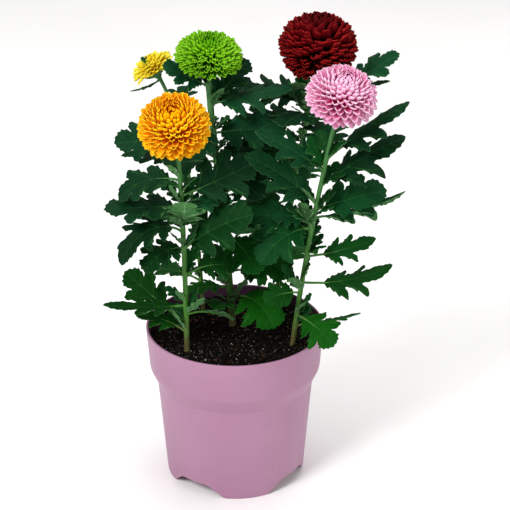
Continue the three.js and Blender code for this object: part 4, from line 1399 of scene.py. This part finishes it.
# %% Petal finishes
# Every petal is deepest in its hollow and near its root, and lighter along its rim and at its
# tip. The deepening near the root is partly painted shade between the petals, and on the red
# bloom the light rim and tip are a painted highlight. The six tints of a bloom are its throat,
# deep between the petals and partly painted shade; the hollow of a young petal; the faded
# hollow of an old one; its rim, a painted highlight on the red bloom; its back; and the
# youngest petals in the heart of the bloom.
TINTS = {
    "orange": ("fc7c00", "ffa400", "ffc010", "fff040", "ffd000", "ff9c00"),
    "green": ("246c00", "58a804", "70b80a", "aae43c", "80c810", "308400"),
    "red": ("180000", "480003", "5c0108", "c42a24", "5a0008", "300000"),
    "pink": ("f2569f", "f47cb8", "fcc8e8", "fdf0fa", "f4d4ea", "f4b0d4"),
    "yellow": ("e8bc00", "f4d808", "f2e41c", "f8f26c", "eedc20", "dcb800"),
}


def petal_finish(name):
    throat_and_shade, hollow, faded, pale_rim_and_highlight, back, heart = TINTS[name]
    petal = Finish("petal_" + name, roughness=0.6, specular=0.04)
    along, edge, share = (petal.attribute(key) for key in ("along", "edge", "share"))
    face = petal.mix(petal.remap(share, 0.15, 0.85), hollow, faded)
    rim = petal.math("POWER", edge, float(BLOOMS[name]["rim"]))
    # The pale rim and the lighter tip: the petals' own pale edge, and on the red bloom a painted highlight,
    # on its backs too.
    face = petal.mix(rim, face, pale_rim_and_highlight)
    face = petal.mix(petal.remap(along, 0.86, 1.0, 0.0, 0.7), face, pale_rim_and_highlight)
    behind = petal.mix(petal.times(rim, BLOOMS[name]["rim_behind"]), back, pale_rim_and_highlight)
    tint = petal.mix(petal.attribute("inner"), behind, face)
    # The throat tint: the petals' deeper colour near the root, and painted shade between the petals.
    tint = petal.mix(petal.remap(along, 0.3, 0.92, 1.0, 0.0), tint, throat_and_shade)
    tint = petal.mix(petal.remap(share, 0.0, 0.12, 0.75, 0.0), tint, heart)
    tint = petal.mix(petal.remap(petal.attribute("tone"), 0.0, 1.0, 0.0, 0.25), tint, hollow)
    veins = petal.noise(1.0, 2.0, petal.stretched(2200, 2200, 2200))
    return petal.done(tint, petal.bump(veins, 0.0001, 0.5))


# %% Receptacle
# The petals stand on a small solid cushion. It closes the view between their roots, and in
# front it is painted in the throat tint, as a painted shade of the bloom's own colour. Behind,
# it is the green calyx that held the bud.
HEART = {
    "reach": 0.58,  # in bloom radii
    "rows": 12,
    "sides": 32,
    "behind": 0.7,  # how much flatter it is behind
    "calyx_below": -0.08,  # in bloom radii along the axis
}


def receptacle(plant):
    bloom, throat_and_shade = plant["bloom"], TINTS[plant["name"]][0]
    reach, rows = bloom["radius"] * HEART["reach"], HEART["rows"]
    profile = []
    for row in range(rows + 1):
        polar = math.pi * (1 - row / rows)
        out, forward = tip_reach(polar, bloom)
        profile.append(Vector((out, forward if polar < math.pi / 2 else HEART["behind"] * forward)) * reach)
    points, faces = turned(profile, HEART["sides"])
    finish = Finish("heart_" + plant["name"], roughness=0.8, specular=0.05)
    points = [Vector(p) * MM for p in points]
    # In front the cushion takes the throat tint, painted shade between the petals' roots.
    piece = new_piece("heart_" + plant["name"], points, faces, finish.done(throat_and_shade), stem_material)
    for face in piece.data.polygons:
        face.material_index = int(face.center.z < HEART["calyx_below"] * bloom["radius"] * MM)
    return piece


# %% Grow the blooms
spiral = spiral_tree()
for number, plant in enumerate(PLANTS):
    name, bloom, style = plant["name"], plant["bloom"], BLOOMS[plant["name"]]
    shelf = petal_set(plant, style)
    inputs = {"Petals": shelf, "Count": style["count"], "Crowd": style["crowd"], "Root": style["root"]}
    inputs.update({"Last Angle": math.radians(bloom["last"]), "Radius": bloom["radius"] * MM})
    inputs.update({"Dome": bloom["dome"], "Skirt Dome": bloom["skirt"]})
    inputs.update({"Stray": math.radians(style["stray"]), "Seed": 40 + number})
    inputs["Material"] = petal_finish(name)
    petals = grow("petals_" + name, new_piece("bud", [(0, 0, 0)], []), spiral, inputs)
    for model in list(shelf.objects):
        bpy.data.objects.remove(model)
    facing = Vector((0, 0, 1)).rotation_difference(Vector(bloom_axis(plant)))
    place = Matrix.Translation(pot_axis + Vector(bloom["centre"]) * MM) @ facing.to_matrix().to_4x4()
    for piece in (petals, receptacle(plant)):
        piece.data.transform(place)
        adopt(piece, "petal_" + name, "bloom_" + name)
